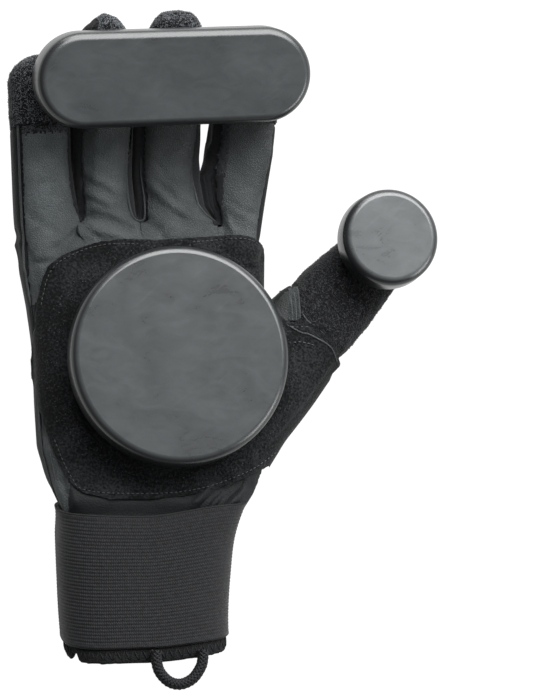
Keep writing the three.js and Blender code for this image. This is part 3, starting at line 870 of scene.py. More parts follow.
# Napped split leather: no gloss, a fine uneven pile and a faint pale bloom at grazing angles.
spot = add(tree, "TexCoord").outputs["Object"]
nap = add(tree, "TexNoise", {"Vector": spot, "Scale": 1400, "Detail": 4})
tone = add(
    tree, "Mix", {0: nap.outputs["Fac"], 6: linear("#0b0c0d"), 7: linear("#252628")}, data_type="RGBA"
)
bump = add(tree, "Bump", {"Height": nap.outputs["Fac"], "Strength": 0.6, "Distance": 0.0004})
shader = add(
    tree,
    "BsdfPrincipled",
    {
        "Base Color": tone.outputs[2],
        "Roughness": 0.95,
        "Normal": bump.outputs[0],
        "Sheen Weight": 0.08,
        "Sheen Roughness": 0.5,
        "Specular IOR Level": 0.2,
    },
)
add(tree, "OutputMaterial", {"Surface": shader.outputs[0]})
for left, right_name in (("pinky", "ring"), ("ring", "middle"), ("middle", "index")):
    strip = soft_copy(f"side_strip_{left}_{right_name}", f"suede_strip_{left}_{right_name}", 0.6)
    skin, outside = settle(get_points(strip), hand_distance, -LEATHER, 0.0)
    x, y, z = skin.T
    edge = np.minimum(seam_height(x, y) - z, z - back_seam_height(x, y)) - HALF_GAP
    turned_in = 0.7 * np.exp(-((np.maximum(edge, 0) / 1.2) ** 2))
    skin = skin - get_normals(strip) * np.where(outside, turned_in, 0)[:, None]
    skin = draw_in(relax(strip, skin, 2))
    rows = np.array(SLOTS[left, right_name])
    slot_x = np.interp(y, rows[:, 0], rows[:, 1:].mean(axis=1))
    share = (z - back_seam_height(x, y)) / (seam_height(x, y) - back_seam_height(x, y))
    closing = np.sin(math.pi * np.clip(share, 0, 1)) ** 0.5
    if right_name == "index":
        closing *= ease((84 - y) / 8)
    skin[:, 0] += np.where(outside, (slot_x - skin[:, 0]) * closing * 0.97, 0)
    set_points(strip, skin)
    fit(strip, side_suede, "side_suede", f"side_strip_{left}_{right_name}")

INDEX_EDGE = [(57.8, 19.2), (61, 19.7), (67, 20.4), (75, 20.7), (84, 22.0), (99, 22.1)]


def paint(piece, chosen, material):
    """Gives a second material to the faces whose middles, in millimetres, are chosen."""
    flat = np.empty(len(piece.data.polygons) * 3)
    piece.data.polygons.foreach_get("center", flat)
    middles = (flat.reshape(-1, 3) - PUCK_MIDDLE) * 1000
    piece.data.materials.append(material)
    slot = len(piece.data.materials) - 1
    slots = np.zeros(len(middles), dtype=np.int32)
    piece.data.polygons.foreach_get("material_index", slots)
    slots[chosen(middles)] = slot
    piece.data.polygons.foreach_set("material_index", slots)


def index_flank(p):
    return (p[:, 1] > 58.6) & (p[:, 0] > 14) & (p[:, 0] < read_off(INDEX_EDGE, p[:, 1]))


def beside_cuff(p):
    return (p[:, 1] < -43) & (p[:, 0] > -41)


paint(palm_leather, index_flank, side_suede)
# Painted shade: the palm leather beside the cuff, where it dips under the band, takes the darker back hide.
paint(palm_leather, beside_cuff, back_hide)

# Slot floors: the strips are pressed together between the fingers, so each slot has a floor with a fold in
# it. It is of the same suede and sewn in with them.
FLOOR_ROWS, FLOOR_COLUMNS = 70, 17


def sheet_faces(columns, rows):
    """Faces of a sheet whose points are given column by column."""
    corners = [c * rows + r for c in range(columns - 1) for r in range(rows - 1)]
    return [(a, a + rows, a + rows + 1, a + 1) for a in corners]


for left, right_name, end_y, folded, sunk in (
    ("pinky", "ring", 98, 1.5, 2.2),
    ("ring", "middle", 98, 0.4, 2.8),
    ("middle", "index", 77, 1.0, 2.2),
):
    rows = SLOTS[left, right_name]
    y = np.linspace(rows[0][0], end_y, FLOOR_ROWS)
    sides = []
    for name, sign, column in ((left, 1, 1), (right_name, -1, 2)):
        x = read_off(rows, y, column)
        z = seam_height(leather_edge(name, sign, y), y) - 0.3
        sides.append(roll_over(np.column_stack([x, y, z])) - [0.8 * sign, 0, 0])
    points = []
    for u in np.linspace(0, 1, FLOOR_COLUMNS):
        floor_points = sides[0] * (1 - u) + sides[1] * u
        floor_points[:, 2] -= sunk * np.sin(math.pi * u) ** 0.7 * ease((y - rows[0][0]) / 6 + 0.1)
        floor_points[:, 2] += folded * np.exp(-(((u - 0.66) / 0.14) ** 2)) * ease((88 - y) / 16)
        floor_points[:, 2] -= 3.0 * (1 - ease((y - rows[0][0]) / 5))
        points.append(floor_points)
    faces = sheet_faces(FLOOR_COLUMNS, FLOOR_ROWS)
    slot_floor = mesh_piece(f"slot_floor_{left}_{right_name}", np.vstack(points), faces)
    fit(slot_floor, side_suede, "side_suede")

# Welts: the leather's edge is rolled in along each seam, which leaves a fine raised cord of leather there.
# They show beside the middle finger, down the little finger's outer side and as pleats in the thumb's web.
TUBE_SIDES = 8


def roll(line, radii):
    """A tube whose radius changes along its line."""
    points, faces = tube(line, 1.0, TUBE_SIDES)
    spine = np.repeat(line, TUBE_SIDES, axis=0)
    return spine + (points - spine) * np.repeat(radii, TUBE_SIDES)[:, None], faces


def slot_side(name, sign, rows, column, y):
    at = read_off(rows, y, column)
    edge = np.column_stack([at - 0.9 * sign, y, seam_height(leather_edge(name, sign, y), y) + 0.35])
    return roll_over(edge)


welts = []
rows = SLOTS["ring", "middle"]
y = np.linspace(rows[0][0], 97, 60)
path = np.vstack([slot_side("ring", 1, rows, 1, y)[::-1], slot_side("middle", -1, rows, 2, y[y < 82])])
for _ in range(3):
    path[1:-1] = (path[:-2] + 2 * path[1:-1] + path[2:]) / 4
run = np.linspace(0, 1, 150)
welts.append(roll(smooth_line(path, 150), np.interp(run, [0, 0.5, 0.65, 1], [0.62, 0.6, 0.5, 0.12])))
rows = SLOTS["middle", "index"]
y = np.linspace(rows[0][0], 90, 50)
path = slot_side("middle", 1, rows, 1, y)
run = np.linspace(0, 1, 90)
welts.append(roll(smooth_line(path, 90), np.interp(run, [0, 0.15, 0.6, 1], [0.3, 0.6, 0.5, 0.15])))
for above_seam, thick in ((0.0, 0.5), (3.4, 0.4)):
    y = np.linspace(-57, 91, 120)
    low, high = np.full(len(y), -80.0), np.full(len(y), -42.0)
    for _ in range(26):
        middle = (low + high) / 2
        out = hand_distance(np.column_stack([middle, y, seam_height(middle, y) + above_seam])) > 0
        low, high = np.where(out, middle, low), np.where(out, high, middle)
    lost = 1 - ease((y - 20) / 5)
    if above_seam:
        lost = np.maximum(lost, ease((y - 22) / 10))
    lost *= ease((y + 16) / 5)
    line = np.column_stack([low + 0.1, y, seam_height(low, y) + above_seam])
    welts.append(roll(draw_in(line), thick * (1 - 0.95 * lost)))
PLEAT_ROWS = 24
PLEAT = [(-1.0, -0.3), (-0.5, 0.1), (0.0, 0.6), (0.45, 1.1), (0.75, 1.25), (0.9, 1.0), (0.95, -0.4)]
for x_top, x_low in ((47.5, 47.6), (49.1, 49.1), (50.7, 50.6)):
    y = np.linspace(32.0, 17.2, PLEAT_ROWS)
    x = np.linspace(x_top, x_low, PLEAT_ROWS)
    height = top_of_hand(x, y)
    points = np.vstack([np.column_stack([x + 0.95 * u, y, height + rise]) for u, rise in PLEAT])
    welts.append((points, [face[::-1] for face in sheet_faces(len(PLEAT), PLEAT_ROWS)]))
points, faces = joined(welts)
leather_welts = mesh_piece("leather_welts", points, faces)
mark(leather_welts, "wear_and_painted_shading", np.full(len(points), 0.95))
fit(leather_welts, grain_leather, "grain_leather")

# Loop caps: brushed loop fabric, the soft half of hook and loop, sewn as thimbles over the fingertips and
# over the whole thumb. The pucks' hook pads grip it. Its pile of short loops stands out all over.
loop_pile, tree = new_material("black_loop_fabric")
# Brushed nylon loops about 0.7 mm across: matt and dark, with pale tips where the pile catches the light.
spot = add(tree, "TexCoord").outputs["Object"]
tuft = add(tree, "TexVoronoi", {"Vector": spot, "Scale": 1300, "Randomness": 1.0})
nap = add(tree, "TexNoise", {"Vector": spot, "Scale": 900, "Detail": 5})
pile = add(
    tree, "Math", {0: tuft.outputs["Distance"], 1: -0.6, 2: nap.outputs["Fac"]}, operation="MULTIPLY_ADD"
)
lit = add(tree, "MapRange", {0: pile.outputs[0], 1: 0.0, 2: 0.45, 3: 0.0, 4: 1.0})
tone = add(tree, "Mix", {0: lit.outputs[0], 6: linear("#030304"), 7: linear("#18191b")}, data_type="RGBA")
bump = add(tree, "Bump", {"Height": pile.outputs[0], "Strength": 0.9, "Distance": 0.0006})
shader = add(
    tree,
    "BsdfPrincipled",
    {
        "Base Color": tone.outputs[2],
        "Roughness": 0.9,
        "Normal": bump.outputs[0],
        "Sheen Weight": 0.06,
        "Sheen Roughness": 0.4,
        "Specular IOR Level": 0.15,
    },
)
add(tree, "OutputMaterial", {"Surface": shader.outputs[0]})


def nylon_fibre(name, colour):
    """Single loops raised from the pile: paler than the ground because light gets through them."""
    made, tree = new_material(name)
    shader = add(
        tree, "BsdfPrincipled", {"Base Color": linear(colour), "Roughness": 0.7, "Specular IOR Level": 0.2}
    )
    add(tree, "OutputMaterial", {"Surface": shader.outputs[0]})
    return made


loop_fibre = nylon_fibre("brushed_nylon_fibre", "#37393b")
# On the fingertips the loops are paler: partly rubbed and linty, partly painted light for the light that
# falls on the tips from beyond the fingertips.
fingertip_fibre = nylon_fibre("linty_nylon_fibre_with_painted_light", "#54575a")
dice = np.random.default_rng(12)


def fuzz(points, normals, count, long_mm, thick_mm):
    """Short loops of fibre, each three faces long, that lie bent over on a skin."""
    pick = dice.integers(0, len(points), count)
    up_from = normals[pick]
    root = points[pick] - 0.1 * up_from
    way = dice.normal(0, 1, (count, 3))
    way -= up_from * (way * up_from).sum(axis=1)[:, None]
    way /= np.linalg.norm(way, axis=1)[:, None]
    length = long_mm * dice.uniform(0.5, 1.3, count)[:, None]
    bent = np.cross(up_from, way) * dice.normal(0, 0.3, (count, 1))
    mid = root + way * length * 0.5 + up_from * (0.12 + 0.25 * length * dice.uniform(0.4, 1.3, (count, 1)))
    tip = root + (way + bent) * length + up_from * 0.15 * dice.normal(0.6, 1.0, (count, 1))
    side = np.cross(way, up_from)
    w = thick_mm / 2
    rows = np.stack([root - w * side, root + w * side, mid - w * side, mid + w * side, tip], axis=1)
    start = np.arange(count)[:, None] * 5
    quads = np.hstack([start, start + 1, start + 3, start + 2])
    ends = np.hstack([start + 2, start + 3, start + 4])
    return rows.reshape(-1, 3), [tuple(f) for f in quads] + [tuple(f) for f in ends]


LOOP_THICK = 0.8
FIBRE_LONG, FIBRE_THICK = 1.0, 0.16
CAP_LAP = 0.8  # how far a finger's cap is drawn down to meet the leather
THUMB_LOOP_EDGE = [(51.8, 18.7), (55.1, 16.3), (60.0, 12.8), (68.6, 8.1)]


def below_thumb_loop(p):
    """The plain band round the thumb's root, below the line where the pile is sewn down."""
    return (p[:, 0] > 50) & (p[:, 1] < read_off(THUMB_LOOP_EDGE, p[:, 0]))


for name in (*FINGERS, "thumb"):
    cap = soft_copy(f"{name}_loop_cap", f"loop_cap_{name}", 0.7)
    form = thumb_distance if name == "thumb" else (lambda p, name=name: finger_distance(p, name))
    skin, outside = settle(get_points(cap), form, -LEATHER, LOOP_THICK)
    if name == "thumb":
        rel = skin[:, :2] - THUMB_POINT
        edge = np.minimum(rel @ THUMB_WAY - THUMB_LOOP_FROM, skin[:, 0] - THUMB_LOOP_INNER_X) - HALF_GAP
    else:
        along, _, way = finger_place(skin, name)
        edge = along - (FINGERS[name][4] - FINGER_START_Y) / way[1] - HALF_GAP
        skin[:, :2] -= CAP_LAP * (1 - ease(edge / 4))[:, None] * way
    thinned = LOOP_THICK * (1 - ease(edge / 5))
    lumps = 0.2 * np.sin(skin @ [0.9, 0.5, 0.4]) * np.sin(skin @ [-0.4, 0.8, 0.7] + 1)
    skin = skin + get_normals(cap) * np.where(outside, lumps - thinned, 0)[:, None]
    skin = relax(cap, skin, 2)
    if name != "thumb":
        skin = draw_in(skin)
    set_points(cap, skin)
    fit(cap, loop_pile, "loop_fabric", f"{name}_loop_cap")
    normals = get_normals(cap)
    open_skin = outside & (edge > 0.6)
    if name == "thumb":
        open_skin &= ~below_thumb_loop(skin)
    hairs = 7000 if name in ("pinky", "thumb") else 9000
    points, faces = fuzz(skin[open_skin], normals[open_skin], hairs, FIBRE_LONG, FIBRE_THICK)
    pile_piece = mesh_piece(f"loop_pile_{name}", points, faces)
    fit(pile_piece, loop_fibre if name == "thumb" else fingertip_fibre, "loop_fabric")

# Lap and lint: the little finger's loop fabric laps over the leather below it and ends in a ragged edge.
# Lint of its nylon clings to the suede on the index finger's inner side.
PINKY_LAP = 3.6


def pinky_lap(p):
    along, _, way = finger_place(p, "pinky")
    ragged = 0.35 * np.sin(p[:, 0] * 1.9) + 0.25 * np.sin(p[:, 0] * 4.3 + 1)
    return (p[:, 0] < -37) & (along > (FINGERS["pinky"][4] - FINGER_START_Y) / way[1] - PINKY_LAP + ragged)


def linty(p):
    return index_flank(p) & (p[:, 1] > 76)


paint(palm_leather, pinky_lap, loop_pile)
skin, normals = get_points(palm_leather), get_normals(palm_leather)
parts = []
for chosen, hairs in ((pinky_lap(skin), 700), (linty(skin), 1800)):
    chosen &= normals[:, 2] > 0.1
    parts.append(fuzz(skin[chosen], normals[chosen], hairs, FIBRE_LONG, FIBRE_THICK))
points, faces = joined(parts)
lap_pile = mesh_piece("loop_pile_lap", points, faces)
fit(lap_pile, loop_fibre, "loop_fabric")

# Palm patch: a second layer of thick black suede over the palm and the heel of the thumb, where the hand
# takes the wear. Its cut edge shows, and a row of lockstitch runs round it inside the edge.
PATCH_OUTLINE = [
    (-52.6, 8), (-50.6, 27), (-44.5, 40), (-30, 47.4), (-1.5, 49), (25, 52), (36, 50), (46, 42),
    (44, 30), (42.5, 21), (47.5, 16.5), (58, 16), (70, 7), (77, -4), (64, -26), (47, -35),
    (29.5, -46.2), (3, -54.4), (-33, -54.6), (-42.5, -47), (-50, -27), (-53, -8),
]
PATCH_CLEAR, PATCH_TOP = 0.3, 1.9  # where its two sides lie above the leather
STITCH_INSET = 2.0
# y, how far it is drawn round the hand's side
PATCH_REACH = [(-44, 0.0), (-25, 0.8), (-10, 1.4), (0, 2.2), (14, 2.8), (26, 3.0), (38, 4.0), (47, 0.5)]


def spread(points):
    """Draws the patch round to the hand's side below the little finger, along the form of the hand."""
    shift = read_off(PATCH_REACH, points[:, 1]) * ease((-34 - points[:, 0]) / 16)
    moved = points.copy()
    moved[:, 0] -= shift
    if points.shape[1] == 3:
        drop = top_of_hand(points[:, 0], points[:, 1]) - top_of_hand(moved[:, 0], moved[:, 1])
        moved[:, 2] -= np.where(shift > 0.01, np.clip(drop, 0, 10), 0)
    return moved


palm_patch = soft_copy("palm_patch", "suede_palm_patch", 0.6)
HEEL_WAY = np.array([0.84, -0.54])  # outwards from the heel of the thumb
skin, outside = settle(get_points(palm_patch), hand_distance, PATCH_CLEAR, PATCH_TOP)
outline = smooth_line(PATCH_OUTLINE, 360, closed=True)
ahead = np.roll(outline, -1, axis=0) - np.roll(outline, 1, axis=0)
inward = np.column_stack([ahead[:, 1], -ahead[:, 0]])
inward /= np.linalg.norm(inward, axis=1)[:, None]
gap = np.full(len(skin), 1e9)
for a in outline:
    gap = np.minimum(gap, np.hypot(skin[:, 0] - a[0], skin[:, 1] - a[1]))
sewn_down = 0.25 * np.exp(-(((gap - STITCH_INSET) / 0.7) ** 2))
soft_edge = 0.5 * np.exp(-((gap / 0.8) ** 2))
skin = skin - get_normals(palm_patch) * np.where(outside, sewn_down + soft_edge, 0)[:, None]
skin = relax(palm_patch, skin, 2)
heel = bloom(skin, 42, -39, 5, 5)
tuck = 0.7 * heel * np.clip(hand_distance(skin) - PATCH_CLEAR, 0, 2.5)
skin[:, :2] -= tuck[:, None] * HEEL_WAY
set_points(palm_patch, spread(skin))
patch_suede, tree = new_material("black_palm_suede")
# Thick split suede: near black, a short mottled nap rubbed paler in places, no gloss.
spot = add(tree, "TexCoord").outputs["Object"]
nap = add(tree, "TexNoise", {"Vector": spot, "Scale": 1100, "Detail": 5})
varied_tone = add(tree, "TexNoise", {"Vector": spot, "Scale": 55, "Detail": 4})
patchy = add(
    tree, "Math", {0: varied_tone.outputs["Fac"], 1: 0.6, 2: nap.outputs["Fac"]}, operation="MULTIPLY_ADD"
)
lit = add(tree, "MapRange", {0: patchy.outputs[0], 1: 0.7, 2: 1.08, 3: 0.0, 4: 1.0})
tone = add(tree, "Mix", {0: lit.outputs[0], 6: linear("#030404"), 7: linear("#232527")}, data_type="RGBA")
bump = add(tree, "Bump", {"Height": nap.outputs["Fac"], "Strength": 0.7, "Distance": 0.0005})
shader = add(
    tree,
    "BsdfPrincipled",
    {
        "Base Color": tone.outputs[2],
        "Roughness": 0.95,
        "Normal": bump.outputs[0],
        "Sheen Weight": 0.05,
        "Sheen Roughness": 0.5,
        "Specular IOR Level": 0.12,
    },
)
add(tree, "OutputMaterial", {"Surface": shader.outputs[0]})
fit(palm_patch, patch_suede, "palm_suede", "palm_patch")


def wrapped_side(p):
    """Below the little finger the suede goes on round the hand's side."""
    return (p[:, 0] < -44) & (p[:, 1] > -13) & (p[:, 1] < 22 + 0.5 * (p[:, 0] + 55))


paint(palm_leather, wrapped_side, patch_suede)

bpy.ops.object.select_all(action="DESELECT")
bpy.ops.mesh.primitive_uv_sphere_add(segments=6, ring_count=5, radius=1.0)
model_stitch = bpy.context.object
STITCH_POINTS = np.array([v.co for v in model_stitch.data.vertices])
STITCH_FACES = sorted(tuple(p.vertices) for p in model_stitch.data.polygons)
bpy.data.objects.remove(model_stitch)


def stitches(starts, ends, over, thick_mm):
    """Raised stitches from starts to ends, each lying on a surface whose normals are over."""
    parts = []
    for a, b, n in zip(starts, ends, over):
        way = b - a
        length = np.linalg.norm(way)
        if length < 1e-6:
            continue
        way = way / length
        n = n - way * (n @ way)
        n /= np.linalg.norm(n)
        side = np.cross(n, way)
        shape = STITCH_POINTS * [length / 2 + 0.1, thick_mm / 2, thick_mm / 2]
        middle = (a + b) / 2 + n * thick_mm * 0.25
        parts.append((middle + shape @ np.array([way, side, n]), STITCH_FACES))
    return joined(parts)


ABOVE_ALL = 80.0


def above(piece):
    """A search tree of a piece, in millimetres from the puck's middle."""
    return BVHTree.FromPolygons(get_points(piece).tolist(), [list(p.vertices) for p in piece.data.polygons])


def sewn_row(surface, line, stitch_mm, space_mm, thick_mm):
    """A row of stitches along a line drawn in plan, dropped onto a surface from above."""
    run = run_along(line)
    count = int(run[-1] / (stitch_mm + space_mm))
    starts, ends, over = [], [], []
    for k in range(count):
        hits = []
        for s in (k * (stitch_mm + space_mm), k * (stitch_mm + space_mm) + stitch_mm):
            at = [np.interp(s, run, line[:, 0]), np.interp(s, run, line[:, 1])]
            hits.append(surface.ray_cast(Vector((*at, ABOVE_ALL)), Vector((0, 0, -1))))
        if hits[0][0] is None or hits[1][0] is None or (hits[0][0] - hits[1][0]).length > 1.6 * stitch_mm:
            continue
        starts.append(np.array(hits[0][0]))
        ends.append(np.array(hits[1][0]))
        over.append(np.array(hits[0][1]))
    return stitches(starts, ends, over, thick_mm)


patch_surface = above(palm_patch)
line = spread(outline + inward * STITCH_INSET)
hidden = (line[:, 0] < -46) & (line[:, 1] > -30) & (line[:, 1] < 20)
first = int(np.flatnonzero(hidden & ~np.roll(hidden, -1))[0]) + 1
line = np.roll(line, -first, axis=0)[~np.roll(hidden, -first)]
rows = [sewn_row(patch_surface, line, 1.25, 0.65, 0.4)]
line = smooth_line([(46.1, 7.5), (50.6, 8.3), (56.0, 7.3), (58.6, 5.6)], 40)
rows.append(sewn_row(patch_surface, line, 1.3, 0.6, 0.45))
points, faces = joined(rows)
patch_thread = mesh_piece("patch_stitching", points, faces)
sewing_thread, tree = new_material("bonded_nylon_thread")
# Bonded nylon: dark grey with a slight shine, twisted every third of a millimetre.
spot = add(tree, "TexCoord").outputs["Object"]
twist = add(tree, "TexNoise", {"Vector": spot, "Scale": 3000, "Detail": 1})
tone = add(
    tree, "Mix", {0: twist.outputs["Fac"], 6: linear("#101112"), 7: linear("#2a2b2c")}, data_type="RGBA"
)
shader = add(tree, "BsdfPrincipled", {"Base Color": tone.outputs[2], "Roughness": 0.5, "IOR": 1.53})
add(tree, "OutputMaterial", {"Surface": shader.outputs[0]})
fit(patch_thread, sewing_thread, "palm_suede")

# Rolled edge: at the thumb the patch's edge is covered with leather rolled over a cord, which shows as a
# pale line across the thumb's root. Two short folds of the same leather lie beyond it.
ROLLED_EDGE = [(46.6, 14.6), (51.1, 12.2), (54.2, 11.6), (58.2, 9.8), (61.7, 8.1), (64.4, 5.9), (66.9, 1.6)]
line = smooth_line(ROLLED_EDGE, 60)
height = top_of_hand(line[:, 0], line[:, 1], PATCH_TOP) + 0.05
parts = [tube(np.column_stack([line, height]), 0.34, TUBE_SIDES)]
for fold_line in ([(52.3, 19.9), (53.8, 17.6), (55.5, 16.0)], [(59.3, 13.1), (63.5, 10.4), (68.0, 7.8)]):
    line = smooth_line(fold_line, 30)
    parts.append(tube(np.column_stack([line, top_of_hand(line[:, 0], line[:, 1], 0.95)]), 0.3, TUBE_SIDES))
points, faces = joined(parts)
patch_roll = mesh_piece("patch_rolled_edge", points, faces)
mark(patch_roll, "wear_and_painted_shading", np.full(len(points), 1.1))
fit(patch_roll, grain_leather, "palm_suede")

# Thumb's root band: between that edge and the pile the loop fabric is sewn flat, so a plain band of it runs
# round the thumb's root.
ROOT_ROWS, ROOT_COLUMNS = 48, 9
upper, lower = smooth_line(THUMB_LOOP_EDGE, ROOT_ROWS), smooth_line(ROLLED_EDGE, ROOT_ROWS)
points = []
for share in np.linspace(0, 1, ROOT_COLUMNS):
    line = upper + (lower - upper) * share
    points.append(np.column_stack([line, top_of_hand(line[:, 0], line[:, 1], 1.25)]))
faces = sheet_faces(ROOT_COLUMNS, ROOT_ROWS)
thumb_band = mesh_piece("thumb_root_band", np.vstack(points), faces)
fit(thumb_band, loop_pile, "loop_fabric")

# Palm loop field: a disc of loop fabric sewn onto the patch for the palm puck to grip. Only its rim shows,
# about 6 mm wide, because the puck covers the rest.
FIELD_MIDDLE = (-0.8, -0.4)
FIELD_RADIUS, FIELD_INNER, FIELD_STEPS = 49.8, 41.0, 240
steps = [(FIELD_INNER, 0.2), (45.5, 0.35), (47.5, 0.35), (48.8, 0.3), (49.4, 0.15), (FIELD_RADIUS, -0.1)]
turns = np.linspace(0, 2 * math.pi, FIELD_STEPS + 1)[:-1]
points, faces, known = [], [], []
for radius, rise in steps:
    for turn in turns:
        across, along = radius * math.cos(turn), radius * math.sin(turn)
        at = Vector((FIELD_MIDDLE[0] + across, FIELD_MIDDLE[1] + along, ABOVE_ALL))
        hit = patch_surface.ray_cast(at, Vector((0, 0, -1)))[0]
        known.append(hit is not None and hit.z > 26)
        points.append((at.x, at.y, (hit.z if hit else 30.0) + rise))
for ring in range(len(steps) - 1):
    for k in range(FIELD_STEPS):
        a, b = ring * FIELD_STEPS + k, ring * FIELD_STEPS + (k + 1) % FIELD_STEPS
        face = (a, a + FIELD_STEPS, b + FIELD_STEPS, b)
        if all(known[i] for i in face):
            faces.append(face)
loop_field = mesh_piece("palm_loop_field", points, faces)
select_only(loop_field)
bpy.ops.object.mode_set(mode="EDIT")
bpy.ops.mesh.select_all(action="SELECT")
bpy.ops.mesh.delete_loose()
bpy.ops.object.mode_set(mode="OBJECT")
fit(loop_field, patch_suede, "loop_fabric")
rim = get_points(loop_field)
strewn = rim + dice.normal(0, 0.9, rim.shape) * [1, 1, 0]
points, faces = fuzz(strewn, get_normals(loop_field), 3500, 0.5, 0.1)
field_pile = mesh_piece("palm_loop_field_pile", points, faces)
fit(field_pile, loop_fibre, "loop_fabric")

# Wrist band: wide woven elastic round the wrist, about 1.5 mm thick, with raised ribs round it every 1.3 mm.
# It is sewn to the leather along its lower edge and grips it by its own stretch.
BAND_TOP, BAND_BOTTOM, BAND_RAKE = -57.6, -108.8, 0.25
BAND_WIDE, BAND_THICK = BAND_TOP - BAND_BOTTOM, 1.5
RIB = 1.32
THREADS_ROUND = 210.0
ROUND_THE_WRIST = 212
band_rows = int(BAND_WIDE / RIB) * 6 + 1


def wrist_ring(row_y, off, rake, count):
    """Evenly spaced points round the wrist, off millimetres from the leather, cut across with a rake."""
    turn = np.linspace(0, 2 * math.pi, 721) - math.pi / 2
    z = np.full(len(turn), RAKE_LEVEL)
    for _ in range(4):
        y = row_y - rake * (z - RAKE_LEVEL)
        along = y.copy()
        for _ in range(3):
            left, right_, bottom, top, own = from_table(HAND, along)
            along = y + own * (z - RAKE_LEVEL)
        middle, half, centre = (bottom + top) / 2, (right_ - left) / 2, (left + right_) / 2
        c, s = np.cos(turn), np.sin(turn)
        side = np.sign(c) * np.abs(c) ** (2 / SQUARENESS)
        lift = np.sign(s) * np.abs(s) ** (2 / SQUARENESS)
        x = centre + (half + off) * side
        low = middle + lift * (middle - bottom + BELLY + off)
        z = np.where(lift > 0, middle + lift * (top - middle + off), np.maximum(low, bottom - off))
    ring = np.column_stack([x, row_y - rake * (z - RAKE_LEVEL), z])
    run = run_along(ring)
    at = np.linspace(0, run[-1], count + 1)
    return np.column_stack([np.interp(at, run, ring[:, k]) for k in range(3)])


def cuff_slant(points):
    """The cuff sits a little higher on the thumb's side, more so at its top edge."""
    share = np.clip((points[:, 1] - BAND_BOTTOM) / BAND_WIDE, 0, 1)
    rise = (2.8 + 2.0 * share) * ease((points[:, 0] + 14) / 36)
    rise -= (1 - share) * ease((-points[:, 0] - 12) / 24)
    return points + np.column_stack([np.zeros(len(points)), rise, np.zeros(len(points))])


bpy.ops.object.select_all(action="DESELECT")
bpy.ops.mesh.primitive_grid_add(x_subdivisions=ROUND_THE_WRIST, y_subdivisions=band_rows - 1, size=2)
wrist_band = bpy.context.object
wrist_band.name = "elastic_wrist_band"
grid = np.array([v.co for v in wrist_band.data.vertices])
column = np.rint((grid[:, 0] + 1) / 2 * ROUND_THE_WRIST).astype(int)
row = np.rint((grid[:, 1] + 1) / 2 * (band_rows - 1)).astype(int)
wrapped = np.empty_like(grid)
for r in range(band_rows):
    share = r / (band_rows - 1)
    rib = abs(math.sin(math.pi * share * BAND_WIDE / RIB))
    edge_round = min(share, 1 - share) * BAND_WIDE
    ribbed = float(ease((edge_round - 1.2) / 0.6))
    off = 2.1 - (0.2 * (1 - rib) + 0.05) * ribbed - 0.6 * math.exp(-((edge_round / 0.5) ** 2))
    ring = wrist_ring(BAND_BOTTOM + share * BAND_WIDE, off, BAND_RAKE, ROUND_THE_WRIST)
    members = row == r
    wrapped[members] = ring[column[members]]
uv = wrist_band.data.uv_layers.active
for loop in wrist_band.data.loops:
    k = loop.vertex_index
    uv.data[loop.index].uv = (column[k] / ROUND_THE_WRIST, row[k] / (band_rows - 1))
set_points(wrist_band, cuff_slant(wrapped))
bpy.ops.object.mode_set(mode="EDIT")
bpy.ops.mesh.select_all(action="SELECT")
bpy.ops.mesh.remove_doubles(threshold=2e-5)
bpy.ops.mesh.normals_make_consistent(inside=False)
bpy.ops.object.mode_set(mode="OBJECT")
bpy.ops.object.shade_smooth()
thick = wrist_band.modifiers.new("thickness", "SOLIDIFY")
thick.thickness = BAND_THICK / 1000
thick.offset = -1
bpy.ops.object.modifier_apply(modifier=thick.name)
elastic, tree = new_material("woven_elastic")
# Covered rubber yarns between black polyester: dull, with cross threads about 0.9 mm apart over the ribs.
chart = add(tree, "UVMap")
spot = add(tree, "TexCoord").outputs["Object"]
split = add(tree, "SeparateXYZ", {0: chart.outputs[0]})
across = add(tree, "Math", {0: split.outputs["Y"], 1: BAND_WIDE / RIB}, operation="MULTIPLY")
zigzag = add(tree, "Math", {0: across.outputs[0], 1: 0.5}, operation="PINGPONG")
thread = add(
    tree, "Math", {0: split.outputs["X"], 1: THREADS_ROUND, 2: zigzag.outputs[0]}, operation="MULTIPLY_ADD"
)
turned = add(tree, "Math", {0: thread.outputs[0], 1: 2 * math.pi}, operation="MULTIPLY")
weave = add(tree, "Math", {0: turned.outputs[0]}, operation="SINE")
uneven_tone = add(tree, "TexNoise", {"Vector": spot, "Scale": 700, "Detail": 4})
mixed = add(tree, "Math", {0: weave.outputs[0], 1: 0.24, 2: uneven_tone.outputs["Fac"]}, operation="MULTIPLY_ADD")
lit = add(tree, "MapRange", {0: mixed.outputs[0], 1: 0.2, 2: 0.85, 3: 0.0, 4: 1.0})
tone = add(tree, "Mix", {0: lit.outputs[0], 6: linear("#040405"), 7: linear("#18191b")}, data_type="RGBA")
bump = add(tree, "Bump", {"Height": mixed.outputs[0], "Strength": 0.6, "Distance": 0.0003})
shader = add(
    tree,
    "BsdfPrincipled",
    {
        "Base Color": tone.outputs[2],
        "Roughness": 0.8,
        "Normal": bump.outputs[0],
        "Sheen Weight": 0.08,
        "Specular IOR Level": 0.2,
    },
)
add(tree, "OutputMaterial", {"Surface": shader.outputs[0]})
fit(wrist_band, elastic, "elastic", "wrist_band")

# Selvedges: both edges of the elastic are woven tighter, of the same polyester as the pull loop, which
# leaves a thin raised cord round each.
selvedges = []
for row_y in (BAND_TOP - 0.4, BAND_BOTTOM + 0.7):
    ring = wrist_ring(row_y, 1.75, BAND_RAKE, ROUND_THE_WRIST)
    selvedges.append(tube(cuff_slant(ring), 0.36, TUBE_SIDES))
points, faces = joined(selvedges)
band_edges = mesh_piece("elastic_selvedges", points, faces)
fit(band_edges, braid, "elastic")

